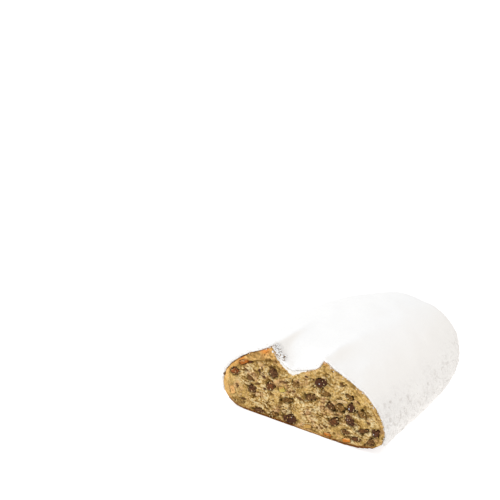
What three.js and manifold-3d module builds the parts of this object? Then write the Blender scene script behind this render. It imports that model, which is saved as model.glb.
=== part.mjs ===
/**
 * The rounded end half of a stollen, a sweet fruit loaf baked for Christmas, cut straight across.
 *
 * The loaf is one solid of crumb and crust. A torn slit opens its back at the cut, between two
 * lips, and fades out before the middle. A coat of packed icing sugar lies on it like a shell, and
 * raisins, candied peel and almonds sit in pockets of the cut face.
 *
 * Millimetres, +Z up. X runs across the loaf, from left to right as the cut face is seen. Y runs
 * from the cut face to the rounded end. The loaf is built with the cut face at Y = 0 and the table
 * at Z = 0, and the group is then moved so that its origin is the middle of its footprint.
 */
import * as THREE from 'three';
import { LoftGeometry } from 'three/addons/geometries/LoftGeometry.js';
import { ImprovedNoise } from 'three/addons/math/ImprovedNoise.js';
import { mergeVertices } from 'three/addons/utils/BufferGeometryUtils.js';
import Module from 'manifold-3d';

const LEFT = -1;
const RIGHT = 1;
const GAP = 0.3;            // between touching pieces
const SAME_POINT = 1e-4;    // corners closer than this are one

const LOAF = {
	length: 160,            // from the cut face to the rounded end
	halfWidth: 62.3,        // from the middle to either side, apart from swell and flare
	swell: 5.6,             // how much wider the left side grows behind the cut
	flare: 1.7,             // how much wider the right side is at the cut
	flareLength: 32,        // how far along Y the flare reaches
	leftRound: 65,          // where along Y the left side starts to round off
	leftCurve: 2.25,        // superellipse power of the plan's left side; 2 is an ellipse
	rightRound: 12,
	rightCurve: 2.59,
	domeRound: 68,          // where along Y the top starts to come down
	domeCurve: 2.6,         // superellipse power of the top seen from the side
	bellyHeight: 15,        // height of the widest line
	domeRise: 38,           // height of the dome above the widest line
	leftShoulder: 1.8,      // power of the dome's section on each side; 2 is an ellipse
	rightShoulder: 2.1,
	leftFoot: 16.5,         // how far the flat underside stays inside the widest line
	rightFoot: 28,
	endFoot: 16.5,
	leastFoot: 0.3,         // least half width of the underside, as a share of the half width
};

const SLIT = {
	leftLip: -0.352,        // places across the loaf, as a share of its half width
	bottom: -0.096,
	rightLip: 0.28,
	depth: 13,              // below the dome, at the cut
	wallCurve: 1.15,        // power of the wall's slope; 1 is straight
	brokenShare: 0.3,       // share of the wall's height that the broken crust at its top takes up
	brokenStart: 0.82,      // where on the wall the broken crust starts, as a share
	leftRaise: 3.6,         // how far each lip stands above the dome
	rightRaise: 3.5,
	crest: 4.5,             // how wide the raised rim of a lip is
	wander: 0.022,          // how far the lips and the bottom stray sideways, as a share
	leftSway: 19,           // lengths along Y that set how slowly each of them strays
	bottomSway: 27,
	rightSway: 23,
	ragged: 0.035,          // how far the torn edges jump about on top of that
	raggedLength: 10,
	depthSwing: 0.12,       // how much the depth comes and goes, as a share
	depthSway: 16,          // length along Y that sets how slowly it does
	fadeStart: 10,          // where along Y the slit starts to close
	fadeEnd: 66,            // where it is gone
};

const GRID = {
	leadIn: 12,             // how far the skins reach past the cut before they are trimmed
	bodyEnd: 90,            // the even rows stop here and the rows of the rounded end start
	bodyRows: 14,
	endRows: 13,
	tipAngle: 88,           // degrees; the last row stops just short of the tip
	underside: 5,           // steps of a ring in each stretch
	corner: 4,
	leftFlank: 8,
	leftWall: 6,
	rightWall: 7,
	rightFlank: 11,
};

const RELIEF = {
	swellLength: 21,        // size of the broad lumps of the dough
	lumpLength: 9,          // size of the small lumps
	swellShare: 0.65,       // share of the relief that the broad lumps take up
	gain: 1.4,              // brings the noise close to the range from -1 to 1
	corner: 0.35,           // height of the relief in each stretch
	flank: 1.1,
	slit: 1.9,
};

const SUGAR = {
	thin: 1.4,              // on the steep sides
	thick: 2.0,             // on what faces up
	drift: 0.4,             // how much the thickness wavers
	driftLength: 13,
	settled: 4.5,           // what more lies along the bottom of the slit
	settledStart: 22,       // where along Y it lies that thick; it starts from nothing at the cut
	hemHeight: 3.4,         // height of the lower edge above the table
	hemWave: 1.2,
	hemLift: 5,             // how much higher the lower edge is at the cut
	hemLiftLength: 12,      // how far along Y that lift dies away
	hemWaveLength: 11,
	trayHalfWidth: 90,
	trayDepth: 12,
	traySteps: 26,
	trayRows: 24,
};

const FRUIT = {
	depth: 2.1,             // half depth of a piece, into the loaf
	proud: 0.9,             // how far a piece stands out of the cut
	ease: 0.05,             // what the pocket of a piece is wider than its gap
	fold: 0.1,              // depth of a raisin's folds, as a share of its radius
	squareness: 0.5,        // how boxy a dice of peel is; 0 is a ball and 1 a box
};

// Raisins: middle across and above the table, half length, half height and lean in degrees.
const RAISINS = [
	[-52.1, 26.8, 3.6, 3.0, 20],
	[-38.1, 17.8, 2.9, 2.6, 0],
	[-20.6, 34.3, 3.7, 3.0, 40],
	[-23.1, 23.9, 3.4, 2.8, 35],
	[-3.1, 31.3, 3.3, 1.8, 5],
	[-9.6, 17.9, 4.1, 1.7, 12],
	[8.9, 26.3, 4.2, 2.4, 22],
	[16.0, 38.3, 5.4, 2.9, 24],
	[19.8, 32.3, 3.8, 2.0, -8],
	[23.4, 24.5, 3.1, 2.1, -10],
	[30.6, 25.1, 3.4, 2.4, 10],
	[39.0, 27.9, 3.4, 2.8, 60],
	[38.2, 18.7, 3.5, 3.0, -25],
	[26.4, 13.9, 4.3, 2.6, 28],
	[35.4, 9.7, 3.3, 1.9, 5],
	[48.0, 14.7, 4.1, 1.7, 22],
	[57.2, 15.7, 3.1, 2.6, 55],
	[43.4, 7.5, 4.2, 1.6, 10],
	[54.4, 8.7, 3.4, 2.2, 40],
	[-7.1, 4.9, 5.2, 3.2, 8],
	[-31.6, 3.7, 4.8, 1.6, 0],
	[-20.2, 4.5, 3.7, 1.5, 4],
	[47.4, 25.9, 3.4, 2.2, -20],
	[37.0, 35.3, 3.1, 1.3, -15],
];

// Dice of candied orange peel, candied lemon peel and almond, given as the raisins are.
const ORANGE_PEEL = [
	[-45.1, 35.2, 4.3, 1.7, 28],
	[21.9, 3.7, 2.7, 1.3, 5],
	[36.4, 4.3, 3.2, 1.5, 12],
	[-54.2, 11.9, 1.8, 2.8, 0],
];
const LEMON_PEEL = [
	[6.4, 4.1, 2.8, 1.5, 10],
	[-14.1, 24.7, 2.9, 2.1, 15],
];
const ALMONDS = [
	[-30.0, 31.3, 1.8, 1.4, 0],
	[32.0, 30.3, 4.6, 1.0, 10],
	[-11.8, 9.1, 1.9, 1.2, 20],
];

const PORES = {
	count: 14,              // bubbles of the crumb that the knife opened
	smallest: 1.2,          // half width
	largest: 2.6,
	flatness: 0.55,         // height to width
	depth: 1.3,
	spare: 1.2,             // least crumb left between a bubble and a piece of fruit
	inside: 0.8,            // share of the face's width that they keep to
	above: 6,               // least height above the table
	below: 18.5,            // least depth under the dome
	tries: 400,
	seed: 11,
};

const noise = new ImprovedNoise();
const wasm = await Module();
wasm.setup();

/** Goes from 1 to 0 as a distance goes from 0 to reach, bluntly for a high power. */
function roundOff(distance, reach, power) {
	const share = Math.min(Math.max(distance / reach, 0), 1);
	return (1 - share ** power) ** (1 / power);
}

/** Half width of the loaf on one side, at a distance y from the cut. */
function halfWidthAt(y, side) {
	if (side === RIGHT) {
		const flare = LOAF.flare * (1 - THREE.MathUtils.smoothstep(y, 0, LOAF.flareLength));
		const reach = LOAF.length - LOAF.rightRound;
		return flare + LOAF.halfWidth * roundOff(y - LOAF.rightRound, reach, LOAF.rightCurve);
	}
	const swell = LOAF.swell * THREE.MathUtils.smoothstep(y, 0, LOAF.leftRound);
	const reach = LOAF.length - LOAF.leftRound;
	return (LOAF.halfWidth + swell) * roundOff(y - LOAF.leftRound, reach, LOAF.leftCurve);
}

/** How far the slit is open at y, from 1 near the cut to 0 where it is gone. */
function openAt(y) {
	return 1 - THREE.MathUtils.smoothstep(y, SLIT.fadeStart, SLIT.fadeEnd);
}

/** The measures of the loaf's outline in the plane across it at y. */
function measuresAt(y) {
	const domeReach = LOAF.length - LOAF.domeRound;
	const roundUnder = roundOff(y - (LOAF.length - LOAF.endFoot), LOAF.endFoot, 2);
	return {
		y,
		halves: { [LEFT]: halfWidthAt(y, LEFT), [RIGHT]: halfWidthAt(y, RIGHT) },
		rise: LOAF.domeRise * roundOff(y - LOAF.domeRound, domeReach, LOAF.domeCurve),
		floor: LOAF.bellyHeight * (1 - roundUnder),
		open: openAt(y),
	};
}

/** A point of the plane across the loaf, from a share of the half width and a height. */
function pointAt(measures, share, height) {
	const half = measures.halves[share < 0 ? LEFT : RIGHT];
	return new THREE.Vector3(share * half, measures.y, height);
}

/** Height of the plain dome at a share of the half width. */
function domeHeight(measures, share) {
	const power = share < 0 ? LOAF.leftShoulder : LOAF.rightShoulder;
	return LOAF.bellyHeight + measures.rise * Math.sqrt(Math.max(1 - Math.abs(share) ** power, 0));
}

/** Where the slit's two lips and its bottom lie at this row, as shares of the half width. */
function slitPlaces(y) {
	const jump = (lane) => SLIT.ragged * noise.noise(y / SLIT.raggedLength, lane, 0);
	return {
		[LEFT]: SLIT.leftLip + SLIT.wander * Math.sin(y / SLIT.leftSway) + jump(LEFT),
		bottom: SLIT.bottom + SLIT.wander * Math.sin(y / SLIT.bottomSway),
		[RIGHT]: SLIT.rightLip - SLIT.wander * Math.sin(y / SLIT.rightSway) + jump(RIGHT),
	};
}

/** How high the raised rim of a lip stands at a distance from its crest. */
function rimHeight(measures, side, distance) {
	const raise = side === LEFT ? SLIT.leftRaise : SLIT.rightRaise;
	return raise * measures.open * Math.exp(-((distance / SLIT.crest) ** 2));
}

/** Height of the torn wall of the slit, from 0 at its bottom to 1 at its lip. */
function wallProfile(share) {
	const slope = (1 - SLIT.brokenShare) * share ** SLIT.wallCurve;
	return slope + SLIT.brokenShare * THREE.MathUtils.smoothstep(share, SLIT.brokenStart, 1);
}

/** The wall of the slit on one side, from its bottom to its lip, without the last point. */
function slitWall(measures, side, steps) {
	const places = slitPlaces(measures.y);
	const scale = measures.rise / LOAF.domeRise;
	const swing = 1 + SLIT.depthSwing * Math.sin(measures.y / SLIT.depthSway);
	const bottom = domeHeight(measures, places.bottom) - SLIT.depth * swing * scale;
	const lip = domeHeight(measures, places[side]) + rimHeight(measures, side, 0);
	const points = [];
	for (let step = 0; step < steps; step += 1) {
		const share = step / steps;
		const place = THREE.MathUtils.lerp(places.bottom, places[side], share);
		const torn = bottom + (lip - bottom) * wallProfile(share);
		const whole = domeHeight(measures, place);
		points.push(pointAt(measures, place, THREE.MathUtils.lerp(whole, torn, measures.open)));
	}
	return points;
}

/** The flank of the dome on one side, from its widest line to the lip, with both ends. */
function flank(measures, side, steps) {
	const lip = slitPlaces(measures.y)[side];
	const lipAngle = Math.acos(Math.abs(lip));
	const points = [];
	for (let step = 0; step <= steps; step += 1) {
		const share = side * Math.cos(lipAngle * step / steps);
		const distance = (share - lip) * measures.halves[side];
		const height = domeHeight(measures, share) + rimHeight(measures, side, distance);
		points.push(pointAt(measures, share, height));
	}
	return points;
}

/** Half width of the flat underside on one side. */
function footHalf(measures, side) {
	const half = measures.halves[side];
	const inset = side === LEFT ? LOAF.leftFoot : LOAF.rightFoot;
	return Math.max(half - inset, half * LOAF.leastFoot);
}

/** The rounded lower edge on one side, from the underside up, without the widest point. */
function corner(measures, side, steps) {
	const foot = footHalf(measures, side);
	const inset = measures.halves[side] - foot;
	const points = [];
	for (let step = 0; step < steps; step += 1) {
		const angle = Math.PI / 2 * step / steps;
		const across = side * (foot + inset * Math.sin(angle));
		const height = LOAF.bellyHeight - (LOAF.bellyHeight - measures.floor) * Math.cos(angle);
		points.push(new THREE.Vector3(across, measures.y, height));
	}
	return points;
}

/** The flat underside, from right to left, without its two ends. */
function underside(measures, steps) {
	const points = [];
	for (let step = 1; step < steps; step += 1) {
		const share = step / steps;
		const across = THREE.MathUtils.lerp(footHalf(measures, RIGHT), -footHalf(measures, LEFT), share);
		points.push(new THREE.Vector3(across, measures.y, measures.floor));
	}
	return points;
}

/** One closed ring round the loaf at y, from the right foot under the loaf and over its back. */
function ring(y) {
	const measures = measuresAt(y);
	return [
		...corner(measures, RIGHT, GRID.corner).slice(0, 1),
		...underside(measures, GRID.underside),
		...corner(measures, LEFT, GRID.corner),
		...flank(measures, LEFT, GRID.leftFlank),
		...slitWall(measures, LEFT, GRID.leftWall).reverse(),
		...slitWall(measures, RIGHT, GRID.rightWall).slice(1),
		...flank(measures, RIGHT, GRID.rightFlank).reverse(),
		...corner(measures, RIGHT, GRID.corner).slice(1).reverse(),
	];
}

/** Height of the relief in each column of the rings, in the order of ring(). */
function reliefHeights() {
	const under = GRID.underside;
	const left = GRID.leftFlank + 1;
	const slit = GRID.leftWall + GRID.rightWall - 1;
	const right = GRID.rightFlank + 1;
	return [
		...Array(under).fill(0),
		0,
		...Array(GRID.corner - 1).fill(RELIEF.corner),
		...Array(left).fill(RELIEF.flank),
		...Array(slit).fill(RELIEF.slit),
		...Array(right).fill(RELIEF.flank),
		...Array(GRID.corner - 1).fill(RELIEF.corner),
	];
}

/** Where the rings stand along the loaf: one before the cut, even ones, then ones that close in. */
function rowPlaces() {
	const places = [-GRID.leadIn];
	for (let row = 0; row < GRID.bodyRows; row += 1) {
		places.push(GRID.bodyEnd * row / GRID.bodyRows);
	}
	const tip = THREE.MathUtils.degToRad(GRID.tipAngle);
	for (let row = 0; row <= GRID.endRows; row += 1) {
		places.push(GRID.bodyEnd + (LOAF.length - GRID.bodyEnd) * Math.sin(tip * row / GRID.endRows));
	}
	return places;
}

/** The outward direction at each point of the rings. */
function outwardDirections(rings) {
	return rings.map((points, row) => points.map((point, column) => {
		const before = rings[Math.max(row - 1, 0)][column];
		const after = rings[Math.min(row + 1, rings.length - 1)][column];
		const along = new THREE.Vector3().subVectors(after, before);
		const next = points[(column + 1) % points.length];
		const last = points[(column + points.length - 1) % points.length];
		const around = new THREE.Vector3().subVectors(next, last);
		return along.cross(around).negate().normalize();
	}));
}

/** The same directions, each evened out with its neighbours in its ring. */
function evenedDirections(directions) {
	return directions.map((rowOfThem) => rowOfThem.map((direction, column) => {
		const count = rowOfThem.length;
		return direction.clone().multiplyScalar(2)
			.add(rowOfThem[(column + 1) % count])
			.add(rowOfThem[(column + count - 1) % count])
			.normalize();
	}));
}

/** Lumps of the dough at a point, from about -1 to 1. */
function dough(point) {
	const broad = RELIEF.swellLength;
	const small = RELIEF.lumpLength;
	const swell = noise.noise(point.x / broad, point.y / broad, point.z / broad);
	const lumps = noise.noise(point.x / small + 40, point.y / small, point.z / small);
	return RELIEF.gain * (RELIEF.swellShare * swell + (1 - RELIEF.swellShare) * lumps);
}

/** The rings of the loaf's skin, with the lumps of its dough. */
function loafRings() {
	const plain = rowPlaces().map(ring);
	const directions = outwardDirections(plain);
	const heights = reliefHeights();
	return plain.map((points, row) => points.map((point, column) => {
		const moved = directions[row][column].multiplyScalar(heights[column] * dough(point));
		if (row < 2) {
			moved.y = 0;
		}
		return moved.add(point);
	}));
}

/** A ring surface whose points are moved by what moveAt gives for a point and its direction. */
function grownRings(rings, moveAt) {
	const directions = evenedDirections(outwardDirections(rings));
	return rings.map((points, row) => points.map((point, column) => {
		return moveAt(point, directions[row][column]).add(point);
	}));
}

/** A closed solid from a geometry, with its shared corners merged. */
function solidOf(geometry) {
	const bare = new THREE.BufferGeometry().copy(geometry);
	bare.deleteAttribute('normal');
	bare.deleteAttribute('uv');
	const merged = mergeVertices(bare, SAME_POINT);
	return new wasm.Manifold(new wasm.Mesh({
		numProp: 3,
		vertProperties: new Float32Array(merged.attributes.position.array),
		triVerts: new Uint32Array(merged.index.array),
	}));
}

/** A geometry from a closed solid. */
function geometryOf(solid) {
	const mesh = solid.getMesh();
	const corners = new Float32Array(mesh.vertProperties);
	const geometry = new THREE.BufferGeometry();
	geometry.setAttribute('position', new THREE.BufferAttribute(corners, 3));
	geometry.setIndex(new THREE.BufferAttribute(new Uint32Array(mesh.triVerts), 1));
	geometry.computeVertexNormals();
	return geometry;
}

/** The closed solid inside a stack of rings. */
function loftedSolid(rings) {
	return solidOf(new LoftGeometry(rings, { capStart: true, capEnd: true }));
}

/** Changes every point of a geometry. */
function reshape(geometry, change) {
	const position = geometry.attributes.position;
	const point = new THREE.Vector3();
	for (let index = 0; index < position.count; index += 1) {
		point.fromBufferAttribute(position, index);
		change(point);
		position.setXYZ(index, point.x, point.y, point.z);
	}
	return geometry;
}

/** A raisin with folds along its length, which lies along X. */
function raisinShape(half) {
	const geometry = new THREE.SphereGeometry(1, 8, 5);
	geometry.rotateZ(Math.PI / 2);
	return reshape(geometry, (point) => {
		const around = Math.atan2(point.z, point.y);
		const fold = 1 + FRUIT.fold * Math.cos(4 * around);
		point.y *= fold;
		point.z *= fold;
		point.multiply(half);
	});
}

/** A dice of peel or nut with soft corners. */
function diceShape(half) {
	const geometry = new THREE.BoxGeometry(2, 2, 2, 2, 2, 2);
	return reshape(geometry, (point) => {
		const ball = point.clone().normalize();
		point.lerpVectors(ball, point, FRUIT.squareness).multiply(half);
	});
}

/** One piece of fruit in the cut face, with its own material, size and lean. */
function fruitPiece(name, shape, material, place) {
	const [across, height, halfLength, halfHeight, lean] = place;
	const half = new THREE.Vector3(halfLength, FRUIT.depth, halfHeight);
	const piece = new THREE.Mesh(shape(half), material);
	piece.name = name;
	piece.position.set(across, FRUIT.depth - FRUIT.proud, height);
	piece.rotation.y = -THREE.MathUtils.degToRad(lean);
	piece.updateMatrix();
	piece.userData = { shape, half };
	return piece;
}

/** All pieces of one kind, numbered from 01. */
function fruitPieces(kind, shape, material, places) {
	return places.map((place, index) => {
		const number = String(index + 1).padStart(2, '0');
		return fruitPiece(`${kind}_${number}`, shape, material, place);
	});
}

/** The hollow that a piece of fruit sits in. */
function pocket(piece) {
	const { shape, half } = piece.userData;
	const room = half.clone().addScalar(GAP + FRUIT.ease);
	return solidOf(shape(room).applyMatrix4(piece.matrix));
}

/** An opened bubble of the crumb, if it stays clear of the fruit and of the bubbles so far. */
function poreAt(across, height, half, taken) {
	const free = taken.every((other) => {
		const distance = Math.hypot(across - other.across, height - other.height);
		return distance > half + other.half + PORES.spare;
	});
	return free ? { across, height, half } : null;
}

/** The next seeded random number between two values. */
function seededBetween(low, high) {
	return THREE.MathUtils.lerp(low, high, THREE.MathUtils.seededRandom());
}

/** Seeded places of the bubbles, inside the cut face. */
function porePlaces(fruit) {
	const taken = fruit.map((piece) => ({
		across: piece.position.x,
		height: piece.position.z,
		half: Math.max(piece.userData.half.x, piece.userData.half.z),
	}));
	const pores = [];
	THREE.MathUtils.seededRandom(PORES.seed);
	for (let attempt = 0; attempt < PORES.tries && pores.length < PORES.count; attempt += 1) {
		const across = LOAF.halfWidth * PORES.inside * seededBetween(-1, 1);
		const reach = Math.sqrt(1 - (across / LOAF.halfWidth) ** 2);
		const ceiling = LOAF.bellyHeight + LOAF.domeRise * reach - PORES.below;
		const height = seededBetween(PORES.above, ceiling);
		const half = seededBetween(PORES.smallest, PORES.largest);
		const pore = poreAt(across, height, half, taken);
		if (pore) {
			pores.push(pore);
			taken.push(pore);
		}
	}
	return pores;
}

/** The hollow of one opened bubble. */
function poreHollow(pore) {
	const geometry = new THREE.SphereGeometry(1, 7, 4);
	geometry.scale(pore.half, PORES.depth, pore.half * PORES.flatness);
	geometry.translate(pore.across, 0, pore.height);
	return solidOf(geometry);
}

/** A box from two of its corners. */
function blockBetween(low, high) {
	const size = new THREE.Vector3().subVectors(high, low);
	const middle = new THREE.Vector3().addVectors(low, high).multiplyScalar(0.5);
	const geometry = new THREE.BoxGeometry(size.x, size.y, size.z);
	geometry.translate(middle.x, middle.y, middle.z);
	return solidOf(geometry);
}

/** Height of the sugar's lower edge above the table. */
function hemHeight(x, y) {
	const length = SUGAR.hemWaveLength;
	const lift = SUGAR.hemLift * Math.exp(-Math.max(y, 0) / SUGAR.hemLiftLength);
	return SUGAR.hemHeight + lift + SUGAR.hemWave * noise.noise(x / length, y / length, 7.3);
}

/** What is taken off below the sugar's wavy lower edge. */
function hemTray() {
	const rings = [];
	const near = -2 * GRID.leadIn;
	const far = LOAF.length + GRID.leadIn;
	const reach = SUGAR.trayHalfWidth;
	for (let row = 0; row <= SUGAR.trayRows; row += 1) {
		const y = THREE.MathUtils.lerp(near, far, row / SUGAR.trayRows);
		const points = [
			new THREE.Vector3(reach, y, -SUGAR.trayDepth),
			new THREE.Vector3(-reach, y, -SUGAR.trayDepth),
		];
		for (let step = 0; step <= SUGAR.traySteps; step += 1) {
			const x = THREE.MathUtils.lerp(-reach, reach, step / SUGAR.traySteps);
			points.push(new THREE.Vector3(x, y, hemHeight(x, y)));
		}
		rings.push(points);
	}
	return loftedSolid(rings);
}

/** How much sugar has settled in the slit above a point, most of all along its bottom. */
function settledSugar(point) {
	const places = slitPlaces(point.y);
	const place = point.x / LOAF.halfWidth;
	const lip = place < places.bottom ? places[LEFT] : places[RIGHT];
	const nearness = 1 - (place - places.bottom) / (lip - places.bottom);
	const behind = THREE.MathUtils.smoothstep(point.y, 0, SUGAR.settledStart);
	return SUGAR.settled * behind * openAt(point.y) * THREE.MathUtils.smoothstep(nearness, 0, 1);
}

/** Thickness of the sugar at a point that faces a direction. */
function sugarThickness(point, direction) {
	const length = SUGAR.driftLength;
	const waver = SUGAR.drift * noise.noise(point.x / length, point.y / length, point.z / length + 90);
	return THREE.MathUtils.lerp(SUGAR.thin, SUGAR.thick, Math.max(direction.z, 0)) + waver;
}

/** The way from the loaf's skin to the coat's inner side. */
function innerMove(point, direction) {
	return direction.clone().multiplyScalar(GAP);
}

/** The way from the loaf's skin to the coat's outer side. */
function outerMove(point, direction) {
	const move = direction.clone().multiplyScalar(GAP + sugarThickness(point, direction));
	move.z += settledSugar(point);
	return move;
}

/** Browned crust round soft crumb. */
function crumbMaterial() {
	return new THREE.MeshStandardMaterial({ color: 0xb48f5a, roughness: 0.9, metalness: 0 });
}

/** Packed icing sugar. */
function sugarMaterial() {
	return new THREE.MeshStandardMaterial({ color: 0xf7f6f4, roughness: 0.95, metalness: 0 });
}

/** Dark, moist raisin. */
function raisinMaterial() {
	return new THREE.MeshStandardMaterial({ color: 0x4a2c26, roughness: 0.45, metalness: 0 });
}

/** Candied orange peel. */
function orangePeelMaterial() {
	return new THREE.MeshStandardMaterial({ color: 0xc87a34, roughness: 0.4, metalness: 0 });
}

/** Candied lemon peel. */
function lemonPeelMaterial() {
	return new THREE.MeshStandardMaterial({ color: 0xc2b04c, roughness: 0.4, metalness: 0 });
}

/** Blanched almond. */
function almondMaterial() {
	return new THREE.MeshStandardMaterial({ color: 0xe2cfa4, roughness: 0.6, metalness: 0 });
}

/** The loaf, with a pocket for each piece of fruit and the opened bubbles of its crumb. */
function makeLoaf(rings, fruit) {
	let solid = loftedSolid(rings.slice(1));
	for (const piece of fruit) {
		solid = solid.subtract(pocket(piece));
	}
	for (const pore of porePlaces(fruit)) {
		solid = solid.subtract(poreHollow(pore));
	}
	const mesh = new THREE.Mesh(geometryOf(solid), crumbMaterial());
	mesh.name = 'loaf';
	return mesh;
}

/** The coat of icing sugar, open below and at the cut. */
function makeSugarCoat(rings) {
	const reach = SUGAR.trayHalfWidth;
	const beforeCut = blockBetween(
		new THREE.Vector3(-reach, -2 * GRID.leadIn, -reach),
		new THREE.Vector3(reach, 0, reach),
	);
	const solid = loftedSolid(grownRings(rings, outerMove))
		.subtract(loftedSolid(grownRings(rings, innerMove)))
		.subtract(hemTray())
		.subtract(beforeCut);
	const mesh = new THREE.Mesh(geometryOf(solid), sugarMaterial());
	mesh.name = 'sugar_coat';
	return mesh;
}

/** Raisins, peel and almonds of the cut face. */
function makeFruit() {
	return [
		...fruitPieces('raisin', raisinShape, raisinMaterial(), RAISINS),
		...fruitPieces('orange_peel', diceShape, orangePeelMaterial(), ORANGE_PEEL),
		...fruitPieces('lemon_peel', diceShape, lemonPeelMaterial(), LEMON_PEEL),
		...fruitPieces('almond', diceShape, almondMaterial(), ALMONDS),
	];
}

/** The whole piece, standing with the middle of its footprint on the origin. */
function makeStollen() {
	const rings = loafRings();
	const fruit = makeFruit();
	const stollen = new THREE.Group();
	stollen.add(makeLoaf(rings, fruit), makeSugarCoat(rings), ...fruit);
	const box = new THREE.Box3().setFromObject(stollen, true);
	stollen.position.set(-(box.min.x + box.max.x) / 2, -(box.min.y + box.max.y) / 2, -box.min.z);
	return stollen;
}

export default makeStollen();
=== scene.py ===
"""The rounded end half of a stollen, with its crumb, crust, icing sugar, raisins and candied peel.

Metres, +Z up. The cut face looks along -Y and the rounded end lies at +Y.
"""

import itertools
import logging
import math
from collections.abc import Iterator
from contextlib import contextmanager
from dataclasses import dataclass, field
from enum import Enum

import bpy
import numpy as np
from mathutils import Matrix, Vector
from mathutils.bvhtree import BVHTree


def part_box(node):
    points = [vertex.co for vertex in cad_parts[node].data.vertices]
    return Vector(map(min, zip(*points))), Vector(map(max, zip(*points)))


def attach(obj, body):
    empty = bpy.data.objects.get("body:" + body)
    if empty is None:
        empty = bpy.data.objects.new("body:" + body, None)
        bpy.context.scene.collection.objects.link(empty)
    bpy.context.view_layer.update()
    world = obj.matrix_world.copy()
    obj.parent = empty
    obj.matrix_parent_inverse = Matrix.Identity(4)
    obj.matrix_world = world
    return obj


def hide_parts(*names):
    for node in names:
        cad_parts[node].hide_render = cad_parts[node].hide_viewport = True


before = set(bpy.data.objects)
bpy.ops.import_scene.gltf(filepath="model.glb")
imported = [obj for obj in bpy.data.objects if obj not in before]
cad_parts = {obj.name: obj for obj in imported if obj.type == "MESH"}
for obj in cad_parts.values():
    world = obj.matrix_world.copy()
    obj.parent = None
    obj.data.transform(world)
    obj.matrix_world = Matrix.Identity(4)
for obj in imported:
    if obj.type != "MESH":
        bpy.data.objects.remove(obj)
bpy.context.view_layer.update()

LOG = logging.getLogger("stollen")
MM = 0.001

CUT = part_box("loaf")[0].y           # where the cut face lies along Y
MIDDLE = 2.28 * MM                  # where the loaf's middle lies along X

WHITE = (1, 1, 1, 1)

Points = np.ndarray
Values = np.ndarray
Colour = tuple[float, float, float, float]
Span = tuple[float, float]          # where a change starts and ends, or a place on the cut face
Place = tuple[float, float, float]


# ---------------------------------------------------------------- numbers and noise


def smooth_step(values: Values, low: float, high: float) -> Values:
    """Goes smoothly from 0 at low to 1 at high.

    Args:
        values: What is measured.
        low: Where the step starts.
        high: Where it ends; it may be the smaller one.

    Returns:
        The share of the step that each value has reached.
    """
    share = np.clip((np.asarray(values) - low) / (high - low), 0, 1)
    return share * share * (3 - 2 * share)


class Noise:
    """Seeded gradient noise, worked out for many points at once."""

    SIZE = 256
    GAIN = 1.6                      # brings the noise close to the range from -1 to 1

    def __init__(self, seed: int) -> None:
        """Draws the slopes of the noise.

        Args:
            seed: The same seed gives the same noise.
        """
        draw = np.random.default_rng(seed)
        self.order = draw.permutation(self.SIZE)
        slopes = draw.normal(size=(self.SIZE, 3))
        self.slopes = slopes / np.linalg.norm(slopes, axis=1, keepdims=True)

    def at(self, points: Points, length: float) -> Values:
        """Gives the noise at some points.

        Args:
            points: Rows of X, Y and Z.
            length: The size of its lumps.

        Returns:
            One value for each point, from about -1 to 1.
        """
        scaled = points / length
        cell = np.floor(scaled).astype(int)
        within = scaled - cell
        fade = within**3 * (within * (within * 6 - 15) + 10)
        total = np.zeros(len(points))
        for corner in itertools.product((0, 1), repeat=3):
            offset = np.array(corner)
            index = (cell + offset) % self.SIZE
            key = self.order[index[:, 0]]
            key = self.order[(key + index[:, 1]) % self.SIZE]
            key = self.order[(key + index[:, 2]) % self.SIZE]
            weight = np.prod(np.where(offset, fade, 1 - fade), axis=1)
            total += weight * np.einsum("ij,ij->i", self.slopes[key], within - offset)
        return total * self.GAIN

    def ridges(self, points: Points, length: float) -> Values:
        """Gives noise with sharp crests, from about -1 in the hollows to 1 on the crests.

        Args:
            points: Rows of X, Y and Z.
            length: The size of its lumps.

        Returns:
            One value for each point.
        """
        return 1 - 2 * np.minimum(np.abs(self.at(points, length)) * 2, 1)

    def warp(self, points: Points, length: float, shifts: Place = (0, 7, 13)) -> Points:
        """Gives different noise in each direction, to bend a shape with.

        Args:
            points: Rows of X, Y and Z.
            length: The size of its lumps.
            shifts: How far apart the three noises are read.

        Returns:
            Rows of X, Y and Z.
        """
        return np.column_stack([self.at(points + shift, length) for shift in shifts])


def turn_about_y(points: Points, angle: float) -> Points:
    """Leans points in the plane of the cut face, left end down for a positive angle.

    Args:
        points: Rows of X, Y and Z.
        angle: In radians.

    Returns:
        The leaned points.
    """
    cosine = math.cos(angle)
    sine = math.sin(angle)
    across = points[:, 0] * cosine - points[:, 2] * sine
    height = points[:, 0] * sine + points[:, 2] * cosine
    return np.column_stack([across, points[:, 1], height])


# ---------------------------------------------------------------- meshes


def select_only(piece: bpy.types.Object) -> None:
    """Selects one object and makes it the active one.

    Args:
        piece: The object.
    """
    bpy.ops.object.select_all(action="DESELECT")
    piece.select_set(True)
    bpy.context.view_layer.objects.active = piece


def read_vectors(piece: bpy.types.Object, name: str = "co") -> Points:
    """Reads the places or the normals of an object's points.

    Args:
        piece: A mesh object.
        name: "co" for places or "normal" for normals.

    Returns:
        Rows of X, Y and Z.
    """
    flat = np.empty(len(piece.data.vertices) * 3)
    piece.data.vertices.foreach_get(name, flat)
    return flat.reshape(-1, 3)


def write_points(piece: bpy.types.Object, points: Points) -> None:
    """Moves all points of an object.

    Args:
        piece: A mesh object.
        points: Rows of X, Y and Z.
    """
    piece.data.vertices.foreach_set("co", np.ascontiguousarray(points).ravel())
    piece.data.update()


def keep_values(piece: bpy.types.Object, **kept: Values) -> None:
    """Stores numbers for each point, for the materials to read.

    Args:
        piece: A mesh object.
        **kept: One number for each point, by the attribute's name.
    """
    for name, values in kept.items():
        attribute = piece.data.attributes.new(name, "FLOAT", "POINT")
        attribute.data.foreach_set("value", np.ascontiguousarray(values, dtype=np.float32))


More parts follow.
